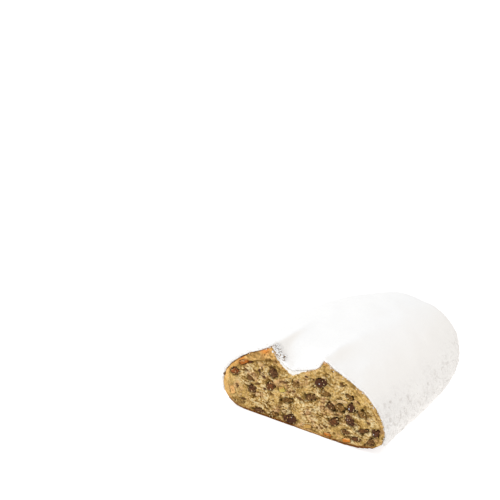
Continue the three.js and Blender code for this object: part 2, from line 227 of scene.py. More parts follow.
def face_values(piece: bpy.types.Object, values: Values, pick: str = "mean") -> Values:
    """Brings values from the points to the faces.

    Args:
        piece: A mesh object.
        values: One number for each point.
        pick: "mean", "min" or "max" of the points of each face.

    Returns:
        One number for each face.
    """
    mesh = piece.data
    corners = np.empty(len(mesh.loops), dtype=int)
    mesh.loops.foreach_get("vertex_index", corners)
    starts = np.empty(len(mesh.polygons), dtype=int)
    mesh.polygons.foreach_get("loop_start", starts)
    if pick == "min":
        return np.minimum.reduceat(values[corners], starts)
    if pick == "max":
        return np.maximum.reduceat(values[corners], starts)
    counts = np.diff(np.append(starts, len(corners)))
    return np.add.reduceat(values[corners], starts) / counts


@contextmanager
def editing(piece: bpy.types.Object, chosen: Values | bool = True) -> Iterator[None]:
    """Opens an object in edit mode with all or some of its faces selected.

    Args:
        piece: A mesh object.
        chosen: True for each face to select, or for all.

    Yields:
        Nothing; edit mode is left at the end.
    """
    select_only(piece)
    mesh = piece.data
    mesh.vertices.foreach_set("select", np.zeros(len(mesh.vertices), dtype=bool))
    mesh.edges.foreach_set("select", np.zeros(len(mesh.edges), dtype=bool))
    mesh.polygons.foreach_set("select", np.zeros(len(mesh.polygons), dtype=bool) | chosen)
    bpy.context.tool_settings.mesh_select_mode = (False, False, True)
    bpy.ops.object.mode_set(mode="EDIT")
    yield
    bpy.ops.object.mode_set(mode="OBJECT")


def apply_modifier(piece: bpy.types.Object, kind: str, **settings: object) -> None:
    """Adds a modifier and applies it.

    Args:
        piece: A mesh object.
        kind: The modifier's type.
        **settings: Its settings by name.
    """
    select_only(piece)
    modifier = piece.modifiers.new(kind.title(), kind)
    for name, value in settings.items():
        setattr(modifier, name, value)
    bpy.ops.object.modifier_apply(modifier=modifier.name)


def copy_of_node(node: str, name: str) -> bpy.types.Object:
    """Copies a CAD solid and merges its doubled points.

    Args:
        node: The solid's name.
        name: The copy's name.

    Returns:
        The copy, with no material.
    """
    piece = bpy.data.objects.new(name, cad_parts[node].data.copy())
    piece.data.name = name
    piece.data.materials.clear()
    bpy.context.scene.collection.objects.link(piece)
    with editing(piece):
        bpy.ops.mesh.remove_doubles(threshold=0.01 * MM)
    return piece


def named(name: str) -> bpy.types.Object:
    """Names the primitive that was added last.

    Args:
        name: The object's name.

    Returns:
        The object.
    """
    piece = bpy.context.active_object
    piece.name = name
    piece.data.name = name
    return piece


def new_ball(name: str, level: int) -> bpy.types.Object:
    """Adds a ball of radius 1 made of even triangles, to be shaped further.

    Args:
        name: The object's name.
        level: How often it is divided.

    Returns:
        The ball.
    """
    bpy.ops.object.select_all(action="DESELECT")
    bpy.ops.mesh.primitive_ico_sphere_add(subdivisions=level, radius=1)
    return named(name)


def new_block(name: str, cuts: int) -> bpy.types.Object:
    """Adds a cube from -1 to 1 with divided sides, to be shaped further.

    Args:
        name: The object's name.
        cuts: How many cuts divide each edge.

    Returns:
        The cube.
    """
    bpy.ops.object.select_all(action="DESELECT")
    bpy.ops.mesh.primitive_cube_add(size=2)
    block = named(name)
    with editing(block):
        bpy.ops.mesh.subdivide(number_cuts=cuts)
    return block


def smooth_shading(piece: bpy.types.Object, angle: float | None = None) -> None:
    """Shades an object smooth, all over or up to an angle.

    Args:
        piece: A mesh object.
        angle: In radians; edges sharper than this stay sharp.
    """
    select_only(piece)
    if angle is None:
        bpy.ops.object.shade_smooth()
    else:
        bpy.ops.object.shade_smooth_by_angle(angle=angle)


class Slot(Enum):
    """The kinds of finish; a fruit's kind also names its CAD solids."""

    CRUMB = "crumb"
    SUGAR = "sugar"
    RAISIN = "raisin"
    ORANGE_PEEL = "orange_peel"
    LEMON_PEEL = "lemon_peel"
    ALMOND = "almond"


def hand_over(
    piece: bpy.types.Object,
    material: bpy.types.Material,
    nodes: tuple[str, ...] = (),
) -> None:
    """Dresses a finished piece and fixes it to the part.

    Args:
        piece: The piece.
        material: Its material.
        nodes: The CAD solids that it stands for.
    """
    piece.data.materials.clear()
    piece.data.materials.append(material)
    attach(piece, "root")
    if nodes:
        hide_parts(*nodes)
    triangles = len(piece.data.loops) - 2 * len(piece.data.polygons)
    LOG.info("%s: %d triangles", piece.name, triangles)


# ---------------------------------------------------------------- shader building


class Graph:
    """A node tree, with short calls to add, set and link its nodes."""

    def __init__(self, tree: bpy.types.NodeTree) -> None:
        """Keeps the tree.

        Args:
            tree: A material's tree or a group.
        """
        self.tree = tree

    def node(
        self, kind: str, inputs: dict[str | int, object] | None = None, **settings: object
    ) -> bpy.types.Node:
        """Adds a node.

        Args:
            kind: The node's type, without its "ShaderNode".
            inputs: Sockets to link or numbers to set, by input name or place.
            **settings: Its settings by name.

        Returns:
            The node.
        """
        made = self.tree.nodes.new("ShaderNode" + kind)
        for name, value in settings.items():
            setattr(made, name, value)
        self.feed(made, inputs or {})
        return made

    def feed(self, node: bpy.types.Node, inputs: dict[str | int, object]) -> None:
        """Links or sets the inputs of a node.

        Args:
            node: The node.
            inputs: Sockets to link or numbers to set, by input name or place.
        """
        for name, value in inputs.items():
            if isinstance(value, bpy.types.NodeSocket):
                self.tree.links.new(value, node.inputs[name])
            else:
                node.inputs[name].default_value = value

    def dress(
        self,
        shader: bpy.types.Node,
        colour: bpy.types.NodeSocket,
        roughness: object,
        shine: float,
        relief: dict[str | int, object],
    ) -> None:
        """Gives a shader its colour, its shine and a fine relief.

        Args:
            shader: The material's shader.
            colour: Its colour.
            roughness: A socket or a number.
            shine: How strongly it mirrors.
            relief: The relief's height, strength and distance.
        """
        bump = self.node("Bump", relief).outputs["Normal"]
        inputs = {"Base Color": colour, "Roughness": roughness, "Specular IOR Level": shine}
        self.feed(shader, {**inputs, "Normal": bump})

    def noise(
        self, vector: object, scale: object, detail: float = 2, roughness: float = 0.5
    ) -> bpy.types.NodeSocket:
        """Adds a noise texture.

        Args:
            vector: Where it is read.
            scale: Lumps in a metre.
            detail: How many finer layers it has.
            roughness: How strong they are.

        Returns:
            Its value.
        """
        inputs = {"Vector": vector, "Scale": scale, "Detail": detail, "Roughness": roughness}
        return self.node("TexNoise", inputs).outputs["Fac"]

    def cells(self, vector: object, scale: object, feature: str = "F1") -> bpy.types.NodeSocket:
        """Adds a cell texture.

        Args:
            vector: Where it is read.
            scale: Cells in a metre.
            feature: Which distance it gives.

        Returns:
            The distance.
        """
        inputs = {"Vector": vector, "Scale": scale}
        return self.node("TexVoronoi", inputs, feature=feature).outputs["Distance"]

    def stretch(
        self, value: object, low: object, high: object, start: float = 0, end: float = 1
    ) -> bpy.types.NodeSocket:
        """Brings the stretch from low to high to the stretch from start to end.

        Args:
            value: What is changed.
            low: What becomes start.
            high: What becomes end.
            start: The first result.
            end: The last result.

        Returns:
            The changed value, kept inside the stretch.
        """
        inputs = {"Value": value, "From Min": low, "From Max": high, "To Min": start, "To Max": end}
        return self.node("MapRange", inputs).outputs["Result"]

    def math(
        self, operation: str, first: object, second: object, clamp: bool = False
    ) -> bpy.types.NodeSocket:
        """Adds a sum.

        Args:
            operation: What is worked out.
            first: Its first number.
            second: Its second number.
            clamp: Whether the result is kept inside the range from 0 to 1.

        Returns:
            The result.
        """
        inputs = {0: first, 1: second}
        return self.node("Math", inputs, operation=operation, use_clamp=clamp).outputs[0]

    def blend(
        self, share: object, below: object, above: object, mode: str = "MIX"
    ) -> bpy.types.NodeSocket:
        """Blends two colours.

        Args:
            share: How much of the upper one shows.
            below: The lower colour.
            above: The upper colour.
            mode: How they are blended.

        Returns:
            The blended colour.
        """
        inputs = {0: share, 6: below, 7: above}
        return self.node("Mix", inputs, data_type="RGBA", blend_type=mode).outputs[2]

    def attribute(self, name: str) -> bpy.types.NodeSocket:
        """Reads a number that the mesh keeps for each point.

        Args:
            name: The attribute's name.

        Returns:
            Its value.
        """
        return self.node("Attribute", attribute_name=name).outputs["Fac"]

    def place(self) -> bpy.types.NodeSocket:
        """Gives the place on the piece, in metres."""
        return self.node("TexCoord").outputs["Object"]

    def group(self, tree: bpy.types.NodeTree, **inputs: object) -> bpy.types.Node:
        """Adds a node group.

        Args:
            tree: The group.
            **inputs: Sockets to link or numbers to set, by input name.

        Returns:
            The group's node.
        """
        return self.node("Group", inputs, node_tree=tree)


def new_group(
    name: str, inputs: dict[str, float], outputs: tuple[str, ...]
) -> tuple[Graph, bpy.types.NodeOutputs, bpy.types.Node]:
    """Makes an empty shader group that is read at a place.

    Args:
        name: Its name.
        inputs: Its number inputs with their usual values.
        outputs: The names of its outputs, all of them numbers.

    Returns:
        The group's graph, what comes in, and its output node.
    """
    tree = bpy.data.node_groups.new(name, "ShaderNodeTree")
    tree.interface.new_socket(name="Vector", in_out="INPUT", socket_type="NodeSocketVector")
    for label, value in inputs.items():
        socket = tree.interface.new_socket(
            name=label, in_out="INPUT", socket_type="NodeSocketFloat"
        )
        socket.default_value = value
    for label in outputs:
        tree.interface.new_socket(name=label, in_out="OUTPUT", socket_type="NodeSocketFloat")
    entry = tree.nodes.new("NodeGroupInput")
    leave = tree.nodes.new("NodeGroupOutput")
    return Graph(tree), entry.outputs, leave


def new_material(name: str) -> tuple[bpy.types.Material, Graph, bpy.types.Node]:
    """Makes a material with one shader.

    Args:
        name: Its name.

    Returns:
        The material, its graph and its shader.
    """
    material = bpy.data.materials.new(name)
    material.use_nodes = True
    graph = Graph(material.node_tree)
    return material, graph, material.node_tree.nodes["Principled BSDF"]


# ---------------------------------------------------------------- finishes


class Effects:
    """The shader groups that several finishes share."""

    def __init__(self) -> None:
        """Builds each group once."""
        self.mottling = self.make_mottling()
        self.powder = self.make_powder()
        self.specks = self.make_specks()

    @staticmethod
    def make_mottling() -> bpy.types.NodeTree:
        """Makes the uneven tone of baked dough or dried fruit: patches with finer ones on them.

        Returns:
            The group.
        """
        inputs = {"Scale": 200.0, "Contrast": 0.2}
        graph, entry, leave = new_group("mottling", inputs, ("Tone", "Height"))
        broad = graph.noise(entry["Vector"], entry["Scale"], 3, 0.6)
        finer_scale = graph.math("MULTIPLY", entry["Scale"], 3.7)
        fine = graph.noise(entry["Vector"], finer_scale, 4, 0.65)
        both = graph.math("ADD", broad, fine)
        low = graph.math("SUBTRACT", 1.0, entry["Contrast"])
        high = graph.math("ADD", 1.0, entry["Contrast"])
        graph.feed(leave, {"Tone": graph.stretch(both, low, high), "Height": fine})
        return graph.tree

    @staticmethod
    def make_powder() -> bpy.types.NodeTree:
        """Makes fine powder packed into soft clumps.

        Returns:
            The group.
        """
        graph, entry, leave = new_group("powder", {"Scale": 900.0}, ("Height", "Shade"))
        grain = graph.noise(entry["Vector"], entry["Scale"], 6, 0.75)
        clump_scale = graph.math("MULTIPLY", entry["Scale"], 0.33)
        clumps = graph.cells(entry["Vector"], clump_scale, "SMOOTH_F1")
        height = graph.math("SUBTRACT", grain, clumps)
        graph.feed(leave, {"Height": height, "Shade": graph.stretch(grain, 0.35, 0.65)})
        return graph.tree

    @staticmethod
    def make_specks() -> bpy.types.NodeTree:
        """Makes small separate spots, such as grains of sugar or bits of rind.

        Returns:
            The group.
        """
        graph, entry, leave = new_group("specks", {"Scale": 500.0, "Amount": 0.2}, ("Mask",))
        distance = graph.cells(entry["Vector"], entry["Scale"])
        waver = graph.noise(entry["Vector"], entry["Scale"], 2, 0.6)
        edge = graph.math("MULTIPLY", entry["Amount"], waver)
        outer = graph.math("MULTIPLY", edge, 1.5)
        graph.feed(leave, {"Mask": graph.stretch(distance, outer, edge)})
        return graph.tree


@dataclass(frozen=True)
class CrumbFinish:
    """Yellow crumb, browned crust, stains of fruit, a dusting of sugar, and painted shade in the
    pores, the fruit's pockets, the tears and the crease.
    """

    dark: Colour = (0.15, 0.07, 0.010, 1)
    middle: Colour = (0.69, 0.43, 0.14, 1)
    light: Colour = (1.0, 0.80, 0.44, 1)
    golden: Colour = (0.80, 0.52, 0.165, 1)
    crust_light: Colour = (0.84, 0.52, 0.20, 1)
    crust_dark: Colour = (0.58, 0.30, 0.07, 1)
    baked: Colour = (0.15, 0.055, 0.012, 1)
    ember: Colour = (0.78, 0.29, 0.06, 1)
    # painted shade, for the pores, the fruit's pockets, the tears and the crease
    hollow: Colour = (0.14, 0.065, 0.010, 1)
    olive: Colour = (0.25, 0.16, 0.04, 1)
    rosy: Colour = (0.82, 0.47, 0.26, 1)
    sugar: Colour = (0.90, 0.88, 0.84, 1)
    grit_scale: float = 750.0       # lumps in a metre
    crust_scale: float = 170.0
    blush_scale: float = 190.0
    sugar_scale: float = 650.0
    grit_share: float = 0.85
    blush_share: float = 0.4
    sugar_amount: float = 0.55

    def make(self, effects: Effects) -> bpy.types.Material:
        """Builds the material.

        Args:
            effects: The shared shader groups.

        Returns:
            The material.
        """
        material, graph, shader = new_material("crumb_and_crust")
        place = graph.place()
        fine = graph.group(effects.mottling, Vector=place, Scale=self.grit_scale, Contrast=0.25)
        tone = graph.attribute("tone")
        crumb = graph.blend(graph.stretch(tone, 0.0, 0.5), self.dark, self.middle)
        crumb = graph.blend(graph.stretch(tone, 0.5, 1.0), crumb, self.light)
        crumb = graph.blend(graph.attribute("golden"), crumb, self.golden)
        crumb = graph.blend(graph.attribute("stain"), crumb, self.olive)
        patches = graph.noise(place, self.blush_scale)
        blush = graph.stretch(patches, 0.52, 0.68, 0, self.blush_share)
        crumb = graph.blend(blush, crumb, self.rosy)
        grit = graph.stretch(fine.outputs["Tone"], 0, 1, 0.3, 1.15)
        crumb = graph.blend(self.grit_share, crumb, grit, "MULTIPLY")
        crust_tone = graph.group(effects.mottling, Vector=place, Scale=self.crust_scale)
        crust = graph.blend(crust_tone.outputs["Tone"], self.crust_dark, self.crust_light)
        crust = graph.blend(1.0, crust, graph.stretch(tone, 0, 1, 0.5, 1.12), "MULTIPLY")
        crust = graph.blend(graph.attribute("ember"), crust, self.ember)
        crust = graph.blend(graph.attribute("bake"), crust, self.baked)
        colour = graph.blend(graph.attribute("crust"), crumb, crust)
        # The hollow attribute paints shade into the pores, the pockets round the fruit, the tears
        # and the crease.
        colour = graph.blend(graph.attribute("hollow"), colour, self.hollow)
        speck_inputs = {"Vector": place, "Scale": self.sugar_scale, "Amount": self.sugar_amount}
        grains = graph.group(effects.specks, **speck_inputs)
        dusted = graph.math("MULTIPLY", grains.outputs["Mask"], graph.attribute("dust"), True)
        white = graph.math("MAXIMUM", dusted, graph.attribute("powdered"), True)
        colour = graph.blend(white, colour, self.sugar)
        roughness = graph.stretch(fine.outputs["Tone"], 0, 1, 0.68, 0.92)
        relief = {"Height": fine.outputs["Height"], "Strength": 0.5, "Distance": 0.5 * MM}
        graph.dress(shader, colour, roughness, 0.0, relief)
        return material


@dataclass(frozen=True)
class SugarFinish:
    """Matte icing sugar, painted greyer as shade where it is rough and at the cut's right rim, with
    pits of thinner sugar that are painted shade too, and a painted bounce tint on the flank that
    faces right.
    """

    white: Colour = (0.930, 0.930, 0.928, 1)
    # a pinkish tint on the flank that faces right, painted as light bounced from the floor
    warm: Colour = (0.917, 0.889, 0.855, 1)
    # painted shade between the clumps where the sugar is rough
    grey: Colour = (0.77, 0.74, 0.71, 1)
    # the pits: thinner sugar, with painted shade in them
    thin_and_shaded_pit: Colour = (0.66, 0.62, 0.58, 1)
    powder_scale: float = 1400.0    # grains in a metre

    def make(self, effects: Effects) -> bpy.types.Material:
        """Builds the material.

        Args:
            effects: The shared shader groups.

        Returns:
            The material.
        """
        material, graph, shader = new_material("icing_sugar")
        place = graph.place()
        powder = graph.group(effects.powder, Vector=place, Scale=self.powder_scale)
        # Rough sugar is painted greyer, as shade between its clumps; the pits take their own
        # colour, partly painted shade.
        tone = graph.math("MULTIPLY", powder.outputs["Shade"], graph.attribute("rough"), True)
        colour = graph.blend(graph.attribute("warm"), self.white, self.warm)
        colour = graph.blend(tone, colour, self.grey)
        colour = graph.blend(graph.attribute("pit"), colour, self.thin_and_shaded_pit)
        relief = {"Height": powder.outputs["Height"], "Strength": 0.35, "Distance": 0.4 * MM}
        graph.dress(shader, colour, 0.95, 0.2, relief)
        return material


@dataclass(frozen=True)
class RaisinFinish:
    """Dark wrinkled skin with a bloom on it and painted shade in its wrinkles, and redder flesh
    where the knife went through.
    """

    # the colour in the wrinkles, where it is painted shade, and the darker spots of the cut flesh
    deep: Colour = (0.032, 0.012, 0.005, 1)
    skin: Colour = (0.12, 0.042, 0.020, 1)
    brown: Colour = (0.34, 0.185, 0.045, 1)
    bloom: Colour = (0.34, 0.19, 0.08, 1)
    flesh: Colour = (0.115, 0.040, 0.018, 1)
    flesh_brown: Colour = (0.36, 0.20, 0.05, 1)
    amber: Colour = (0.50, 0.15, 0.035, 1)
    skin_scale: float = 420.0       # spots in a metre
    bloom_share: float = 0.3

    def make(self, effects: Effects) -> bpy.types.Material:
        """Builds the material.

        Args:
            effects: The shared shader groups.

        Returns:
            The material.
        """
        material, graph, shader = new_material("raisin_skin")
        place = graph.place()
        tone = graph.group(effects.mottling, Vector=place, Scale=self.skin_scale, Contrast=0.3)
        skin = graph.blend(graph.attribute("brown"), self.skin, self.brown)
        # The wrinkles take the deep colour as painted shade; the crests show the skin.
        colour = graph.blend(graph.attribute("crest"), self.deep, skin)
        dusty = graph.math("MULTIPLY", tone.outputs["Tone"], graph.attribute("crest"), True)
        dusty = graph.math("MULTIPLY", dusty, self.bloom_share, True)
        colour = graph.blend(dusty, colour, self.bloom)
        flesh = graph.blend(graph.attribute("brown"), self.flesh, self.flesh_brown)
        flesh = graph.blend(graph.attribute("amber"), flesh, self.amber)
        cut = graph.blend(tone.outputs["Tone"], self.deep, flesh)
        colour = graph.blend(graph.attribute("flesh"), colour, cut)
        uneven = graph.stretch(tone.outputs["Tone"], 0, 1, 0.0, 0.25)
        matte = graph.stretch(graph.attribute("brown"), 0, 1, 0.28, 0.6)
        roughness = graph.math("ADD", uneven, matte, True)
        relief = {"Height": tone.outputs["Height"], "Strength": 0.5, "Distance": 0.3 * MM}
        graph.dress(shader, colour, roughness, 0.06, relief)
        return material


@dataclass(frozen=True)
class PeelFinish:
    """Candied peel: moist and a little see-through, with a paler pith side and a dull one."""

    name: str
    deep: Colour
    bright: Colour
    pith: Colour
    dull: Colour
    rind_scale: float = 450.0       # spots in a metre

    def make(self, effects: Effects) -> bpy.types.Material:
        """Builds the material.

        Args:
            effects: The shared shader groups.

        Returns:
            The material.
        """
        material, graph, shader = new_material(self.name)
        place = graph.place()
        tone = graph.group(effects.mottling, Vector=place, Scale=self.rind_scale, Contrast=0.25)
        colour = graph.blend(tone.outputs["Tone"], self.deep, self.bright)
        colour = graph.blend(graph.attribute("pith"), colour, self.pith)
        colour = graph.blend(graph.attribute("dull"), colour, self.dull)
        roughness = graph.stretch(tone.outputs["Tone"], 0, 1, 0.3, 0.5)
        relief = {"Height": tone.outputs["Height"], "Strength": 0.3, "Distance": 0.3 * MM}
        graph.dress(shader, colour, roughness, 0.12, relief)
        return material


ORANGE = PeelFinish(
    name="candied_orange",
    deep=(0.42, 0.10, 0.006, 1),
    bright=(0.72, 0.26, 0.03, 1),
    pith=(0.80, 0.47, 0.17, 1),
    dull=(0.22, 0.05, 0.004, 1),
)
LEMON = PeelFinish(
    name="candied_lemon",
    deep=(0.40, 0.28, 0.05, 1),
    bright=(0.68, 0.53, 0.13, 1),
    pith=(0.54, 0.30, 0.08, 1),
    dull=(0.20, 0.12, 0.02, 1),
)
ALMOND = PeelFinish(
    name="blanched_almond",
    deep=(0.44, 0.28, 0.12, 1),
    bright=(0.68, 0.48, 0.23, 1),
    pith=(0.74, 0.54, 0.28, 1),
    dull=(0.13, 0.065, 0.015, 1),
)


# ---------------------------------------------------------------- the fruit in the cut face


class RaisinLook(Enum):
    """How brown the skin of a raisin is, and how amber its flesh."""

    DARK = (0.0, 0.0)
    PLUM = (0.2, 0.25)
    BROWN = (0.4, 0.1)
    TAN = (0.9, 0.1)
    AMBER = (0.35, 1.0)


# The numbers of the raisins of each look; all others are dark.
LOOKS = {
    RaisinLook.PLUM: (2, 3, 4, 14, 18, 21),
    RaisinLook.BROWN: (7, 10, 15, 16, 19),
    RaisinLook.TAN: (5, 6, 9, 11, 22, 23, 24),
    RaisinLook.AMBER: (1,),
}

FRUIT_KINDS = (Slot.RAISIN, Slot.ORANGE_PEEL, Slot.LEMON_PEEL, Slot.ALMOND)
PITH_SIDES = ("orange_peel_04", "lemon_peel_01")    # these dice show their pith

# How dull the sides of these pieces are.
DULL_SHARES = {"orange_peel_01": 0.6, "orange_peel_02": 0.3, "almond_01": 1.0, "almond_03": 0.6}


def look_of(number: int) -> RaisinLook:
    """Gives the look of the raisin with a number."""
    return next((look for look, numbers in LOOKS.items() if number in numbers), RaisinLook.DARK)


@dataclass(frozen=True)
class Bed:
    """Where a piece lies in the cut face, and how large it is."""

    centre: Vector
    half: Vector                    # half length, half depth and half height
    lean: float                     # radians, right end up

    @classmethod
    def of_node(cls, node: str) -> "Bed":
        """Measures the CAD solid of a piece.

        Args:
            node: The solid's name.

        Returns:
            Its bed.
        """
        low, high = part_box(node)
        centre = (low + high) / 2
        flat = read_vectors(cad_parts[node])[:, [0, 2]] - (centre.x, centre.z)
        along = np.linalg.eigh(flat.T @ flat)[1][:, -1]
        along = along if along[0] > 0 else -along
        upward = np.array([-along[1], along[0]])
        half = (np.abs(flat @ along).max(), (high.y - low.y) / 2, np.abs(flat @ upward).max())
        return cls(centre, Vector(half), math.atan2(along[1], along[0]))

    def reach(self, points: Points, room: float = 0) -> Values:
        """Tells how far points of the cut face are from the bed's middle.

        Args:
            points: Rows of X, Y and Z.
            room: How much wider the bed is taken.

        Returns:
            0 in the middle and 1 on the bed's edge.
        """
        across = points[:, 0] - self.centre.x
        height = points[:, 2] - self.centre.z
        along = across * math.cos(self.lean) + height * math.sin(self.lean)
        upward = height * math.cos(self.lean) - across * math.sin(self.lean)
        return np.hypot(along / (self.half.x + room), upward / (self.half.z + room))

    def laid(self, points: Points) -> Points:
        """Brings a shape of radius 1 to its place in the cut face.

        Args:
            points: Rows of X, Y and Z, about the origin.

        Returns:
            The places in the part.
        """
        return turn_about_y(points * np.array(self.half), self.lean) + np.array(self.centre)


@dataclass(frozen=True)
class Pocket:
    """The hollow that a bit of fruit has in the crumb."""

    bed: Bed
    overhang: float                 # how far crumb hangs over its edges, as a share of its size
    room: float = 0.0               # how much wider it is than the fruit
    deepness: float = 1.0           # its depth to half the depth of the fruit
    stained: float = 1.7            # how far the fruit stains the crumb, as a share of its size


@dataclass
class Fruit:
    """One raisin, dice of peel or bit of almond, each its own piece."""

    kind: Slot                      # one of the kinds of fruit
    number: int
    fold: float = 0.17              # depth of a raisin's wrinkles, as a share of its radius
    crease: float = 0.45            # and of the finer ones, as a share of that
    peel_softness: float = 0.6      # 0 for a cube to 1 for a ball
    almond_softness: float = 0.4
    crooked: float = 0.34           # how far a dice is bent out of shape
    pith_share: float = 0.85        # how pale a side of pith is
    sliced_every: int = 2           # one raisin of this many was cut through by the knife
    slice_proud: float = 0.12 * MM
    blunt: float = 0.35 * MM        # what stands out further than this was pressed flat
    lowest: float = 0.3 * MM        # nothing of it comes nearer to the table than this

    @property
    def node(self) -> str:
        """The name of its CAD solid."""
        return f"{self.kind.value}_{self.number:02d}"

    @property
    def bed(self) -> Bed:
        """Where it lies."""
        return Bed.of_node(self.node)

    @property
    def pocket(self) -> Pocket:
        """The hollow that it sits in; crumb hangs over pale raisins most of all.

        Returns:
            The pocket.
        """
        overhang = 0.12
        if self.kind is Slot.RAISIN:
            pale = look_of(self.number) in (RaisinLook.BROWN, RaisinLook.TAN)
            overhang = 0.6 if pale else 0.36
        return Pocket(self.bed, overhang, room=0.15 * MM, deepness=2.2, stained=1.5)

    def build(self, material: bpy.types.Material) -> None:
        """Models the piece and hands it over.

        Args:
            material: Its material.
        """
        model = self.raisin if self.kind is Slot.RAISIN else self.dice
        piece = model(f"{self.node}_piece")
        hand_over(piece, material, (self.node,))

    def raisin(self, name: str) -> bpy.types.Object:
        """Models a wrinkled raisin, cut flat in front where the knife met it.

        Args:
            name: The piece's name.

        Returns:
            The raisin.
        """
        piece = new_ball(name, 5)
        ball = read_vectors(piece)
        noise = Noise(100 + self.number)
        drawn_out = (ball + 0.3 * noise.warp(ball, 0.9)) * (0.62, 1, 1)
        folds = np.exp(-((noise.at(drawn_out + 3, 0.52) / 0.13) ** 2))
        creases = np.exp(-((noise.at(drawn_out + 9, 0.27) / 0.16) ** 2))
        body = 1.04 + 0.34 * noise.at(ball + 21, 1.0)
        depth = self.fold * folds + self.crease * self.fold * creases
        bed = self.bed
        points = bed.laid(ball * (body - depth)[:, None])
        # crest is 1 on the crests and 0 in the wrinkles, which the finish paints with shade.
        crest = 1 - np.clip(folds + 0.6 * creases, 0, 1)
        flesh = np.zeros(len(points))
        brown, amber = look_of(self.number).value
        if self.number % self.sliced_every == 0 or amber == 1:
            front = CUT - self.slice_proud * (self.number % 4)
            sliced = front - points[:, 1]
            flesh = smooth_step(sliced, 0, 0.35 * MM)
            uneven = 0.15 * MM * noise.at(points, 1.6 * MM)
            points[:, 1] = np.where(sliced > 0, front + uneven * flesh, points[:, 1])
        beyond = np.maximum(CUT - self.blunt - points[:, 1], 0)
        points[:, 1] += 0.75 * beyond
        points[:, 2] = np.maximum(points[:, 2], self.lowest)
        write_points(piece, points)
        even = np.ones(len(points))
        keep_values(piece, crest=crest, flesh=flesh, brown=brown * even, amber=amber * even)
        smooth_shading(piece)
        return piece

    def dice(self, name: str) -> bpy.types.Object:
        """Models a soft-cornered dice of peel or a chip of almond.

        Args:
            name: The piece's name.

        Returns:
            The dice.
        """
        piece = new_block(name, 11)
        block = read_vectors(piece)
        ball = block / np.linalg.norm(block, axis=1, keepdims=True)
        noise = Noise(300 + self.number + 10 * len(self.kind.value))
        almond = self.kind is Slot.ALMOND
        softness = self.almond_softness if almond else self.peel_softness
        shape = block * (1 - softness) + ball * softness
        shape = shape + self.crooked * noise.warp(ball, 1.2)
        body = 1.02 - 0.12 * np.abs(noise.at(ball + 5, 0.45))
        points = self.bed.laid(shape * body[:, None])
        front = CUT - self.slice_proud * (self.number % 4)
        uneven = 0.2 * MM * noise.at(points, 1.8 * MM)
        points[:, 1] = np.maximum(points[:, 1], front + uneven)
        points[:, 2] = np.maximum(points[:, 2], self.lowest)
        write_points(piece, points)
        pith = smooth_step(ball[:, 2] + 0.3 * noise.at(ball, 0.8), 0.15, 0.6)
        pith = np.maximum(pith, self.pith_share * (self.node in PITH_SIDES))
        dull = smooth_step(noise.at(ball + 3, 0.9), 0.45, -0.1)
        keep_values(piece, pith=pith, dull=DULL_SHARES.get(self.node, 0.0) * dull)
        smooth_shading(piece, math.radians(50))
        return piece


@dataclass(frozen=True)
class Scrap:
    """A bit of fruit too small to be a piece of its own, in millimetres from the loaf's middle."""

    across: float
    height: float
    half_length: float
    half_height: float
    lean: float                     # degrees, right end up
    look: RaisinLook = RaisinLook.BROWN

    @property
    def bed(self) -> Bed:
        """Where it lies.

        Returns:
            Its bed, in metres.
        """
        centre = Vector((MIDDLE + self.across * MM, CUT + 0.5 * MM, self.height * MM))
        half = Vector((self.half_length * MM, 1.1 * MM, self.half_height * MM))
        return Bed(centre, half, math.radians(self.lean))

    @property
    def pocket(self) -> Pocket:
        """The hollow that it sits in."""
        return Pocket(self.bed, 0.42)


SCRAPS = (
    Scrap(-60.6, 22.0, 1.3, 1.0, 60),
    Scrap(-29.8, 35.0, 0.6, 1.5, 5, RaisinLook.DARK),
    Scrap(-33.4, 22.8, 1.6, 0.7, 30),
    Scrap(-27.3, 20.9, 1.3, 0.9, 0, RaisinLook.DARK),
    Scrap(-39.2, 25.2, 2.6, 1.5, 8),
    Scrap(-42.6, 30.6, 2.2, 0.8, -15),
    Scrap(-50.2, 16.4, 0.8, 1.5, 10),
    Scrap(0.4, 22.5, 4.2, 0.6, -3),
    Scrap(4.8, 39.5, 0.9, 0.5, 0, RaisinLook.DARK),
    Scrap(10.4, 39.2, 0.7, 0.6, 0, RaisinLook.PLUM),
    Scrap(-39.1, 36.8, 1.4, 0.7, 20, RaisinLook.DARK),
    Scrap(-12.0, 30.3, 2.3, 0.6, -6),
    Scrap(-4.6, 25.9, 1.5, 0.7, 12),
    Scrap(28.3, 19.8, 1.8, 0.6, 15),
    Scrap(51.8, 21.6, 1.2, 0.7, -30, RaisinLook.PLUM),
    Scrap(20.6, 8.7, 1.6, 0.6, 12),
    Scrap(-45.4, 7.8, 2.2, 0.6, 5),
    Scrap(31.7, 42.2, 1.5, 0.7, -28),
    Scrap(44.2, 33.5, 1.3, 0.7, -40),
    Scrap(-31.9, 32.9, 1.5, 0.8, 30, RaisinLook.DARK),
    Scrap(-28.4, 29.3, 1.5, 0.9, -20, RaisinLook.DARK),
)


# ---------------------------------------------------------------- the loaf

# Both ends of the crease under the left lip, where the finish paints a shadow line: across from the
# middle and above the table.
CREASE = ((-50.1 * MM, 34.3 * MM), (-18.1 * MM, 44.8 * MM))

# How dark the lower edge of the cut face is, at places across from the middle.
LOWER_EDGE_PLACES = (-60 * MM, -48 * MM, -6 * MM, 2 * MM, 18 * MM, 26 * MM, 60 * MM)
LOWER_EDGE_SHARES = (0.3, 1.1, 1.1, 0.4, 0.45, 1.1, 0.9)

# Where the coat's sugar has spilled over the cut's edge in the slit, beside the middle, and how
# far down it reaches.
SPILL_PLACES = (-16 * MM, -6 * MM, -3 * MM, 6 * MM)
SPILL_DEPTHS = (0.6 * MM, 3.9 * MM, 2.6 * MM, 0.2 * MM)

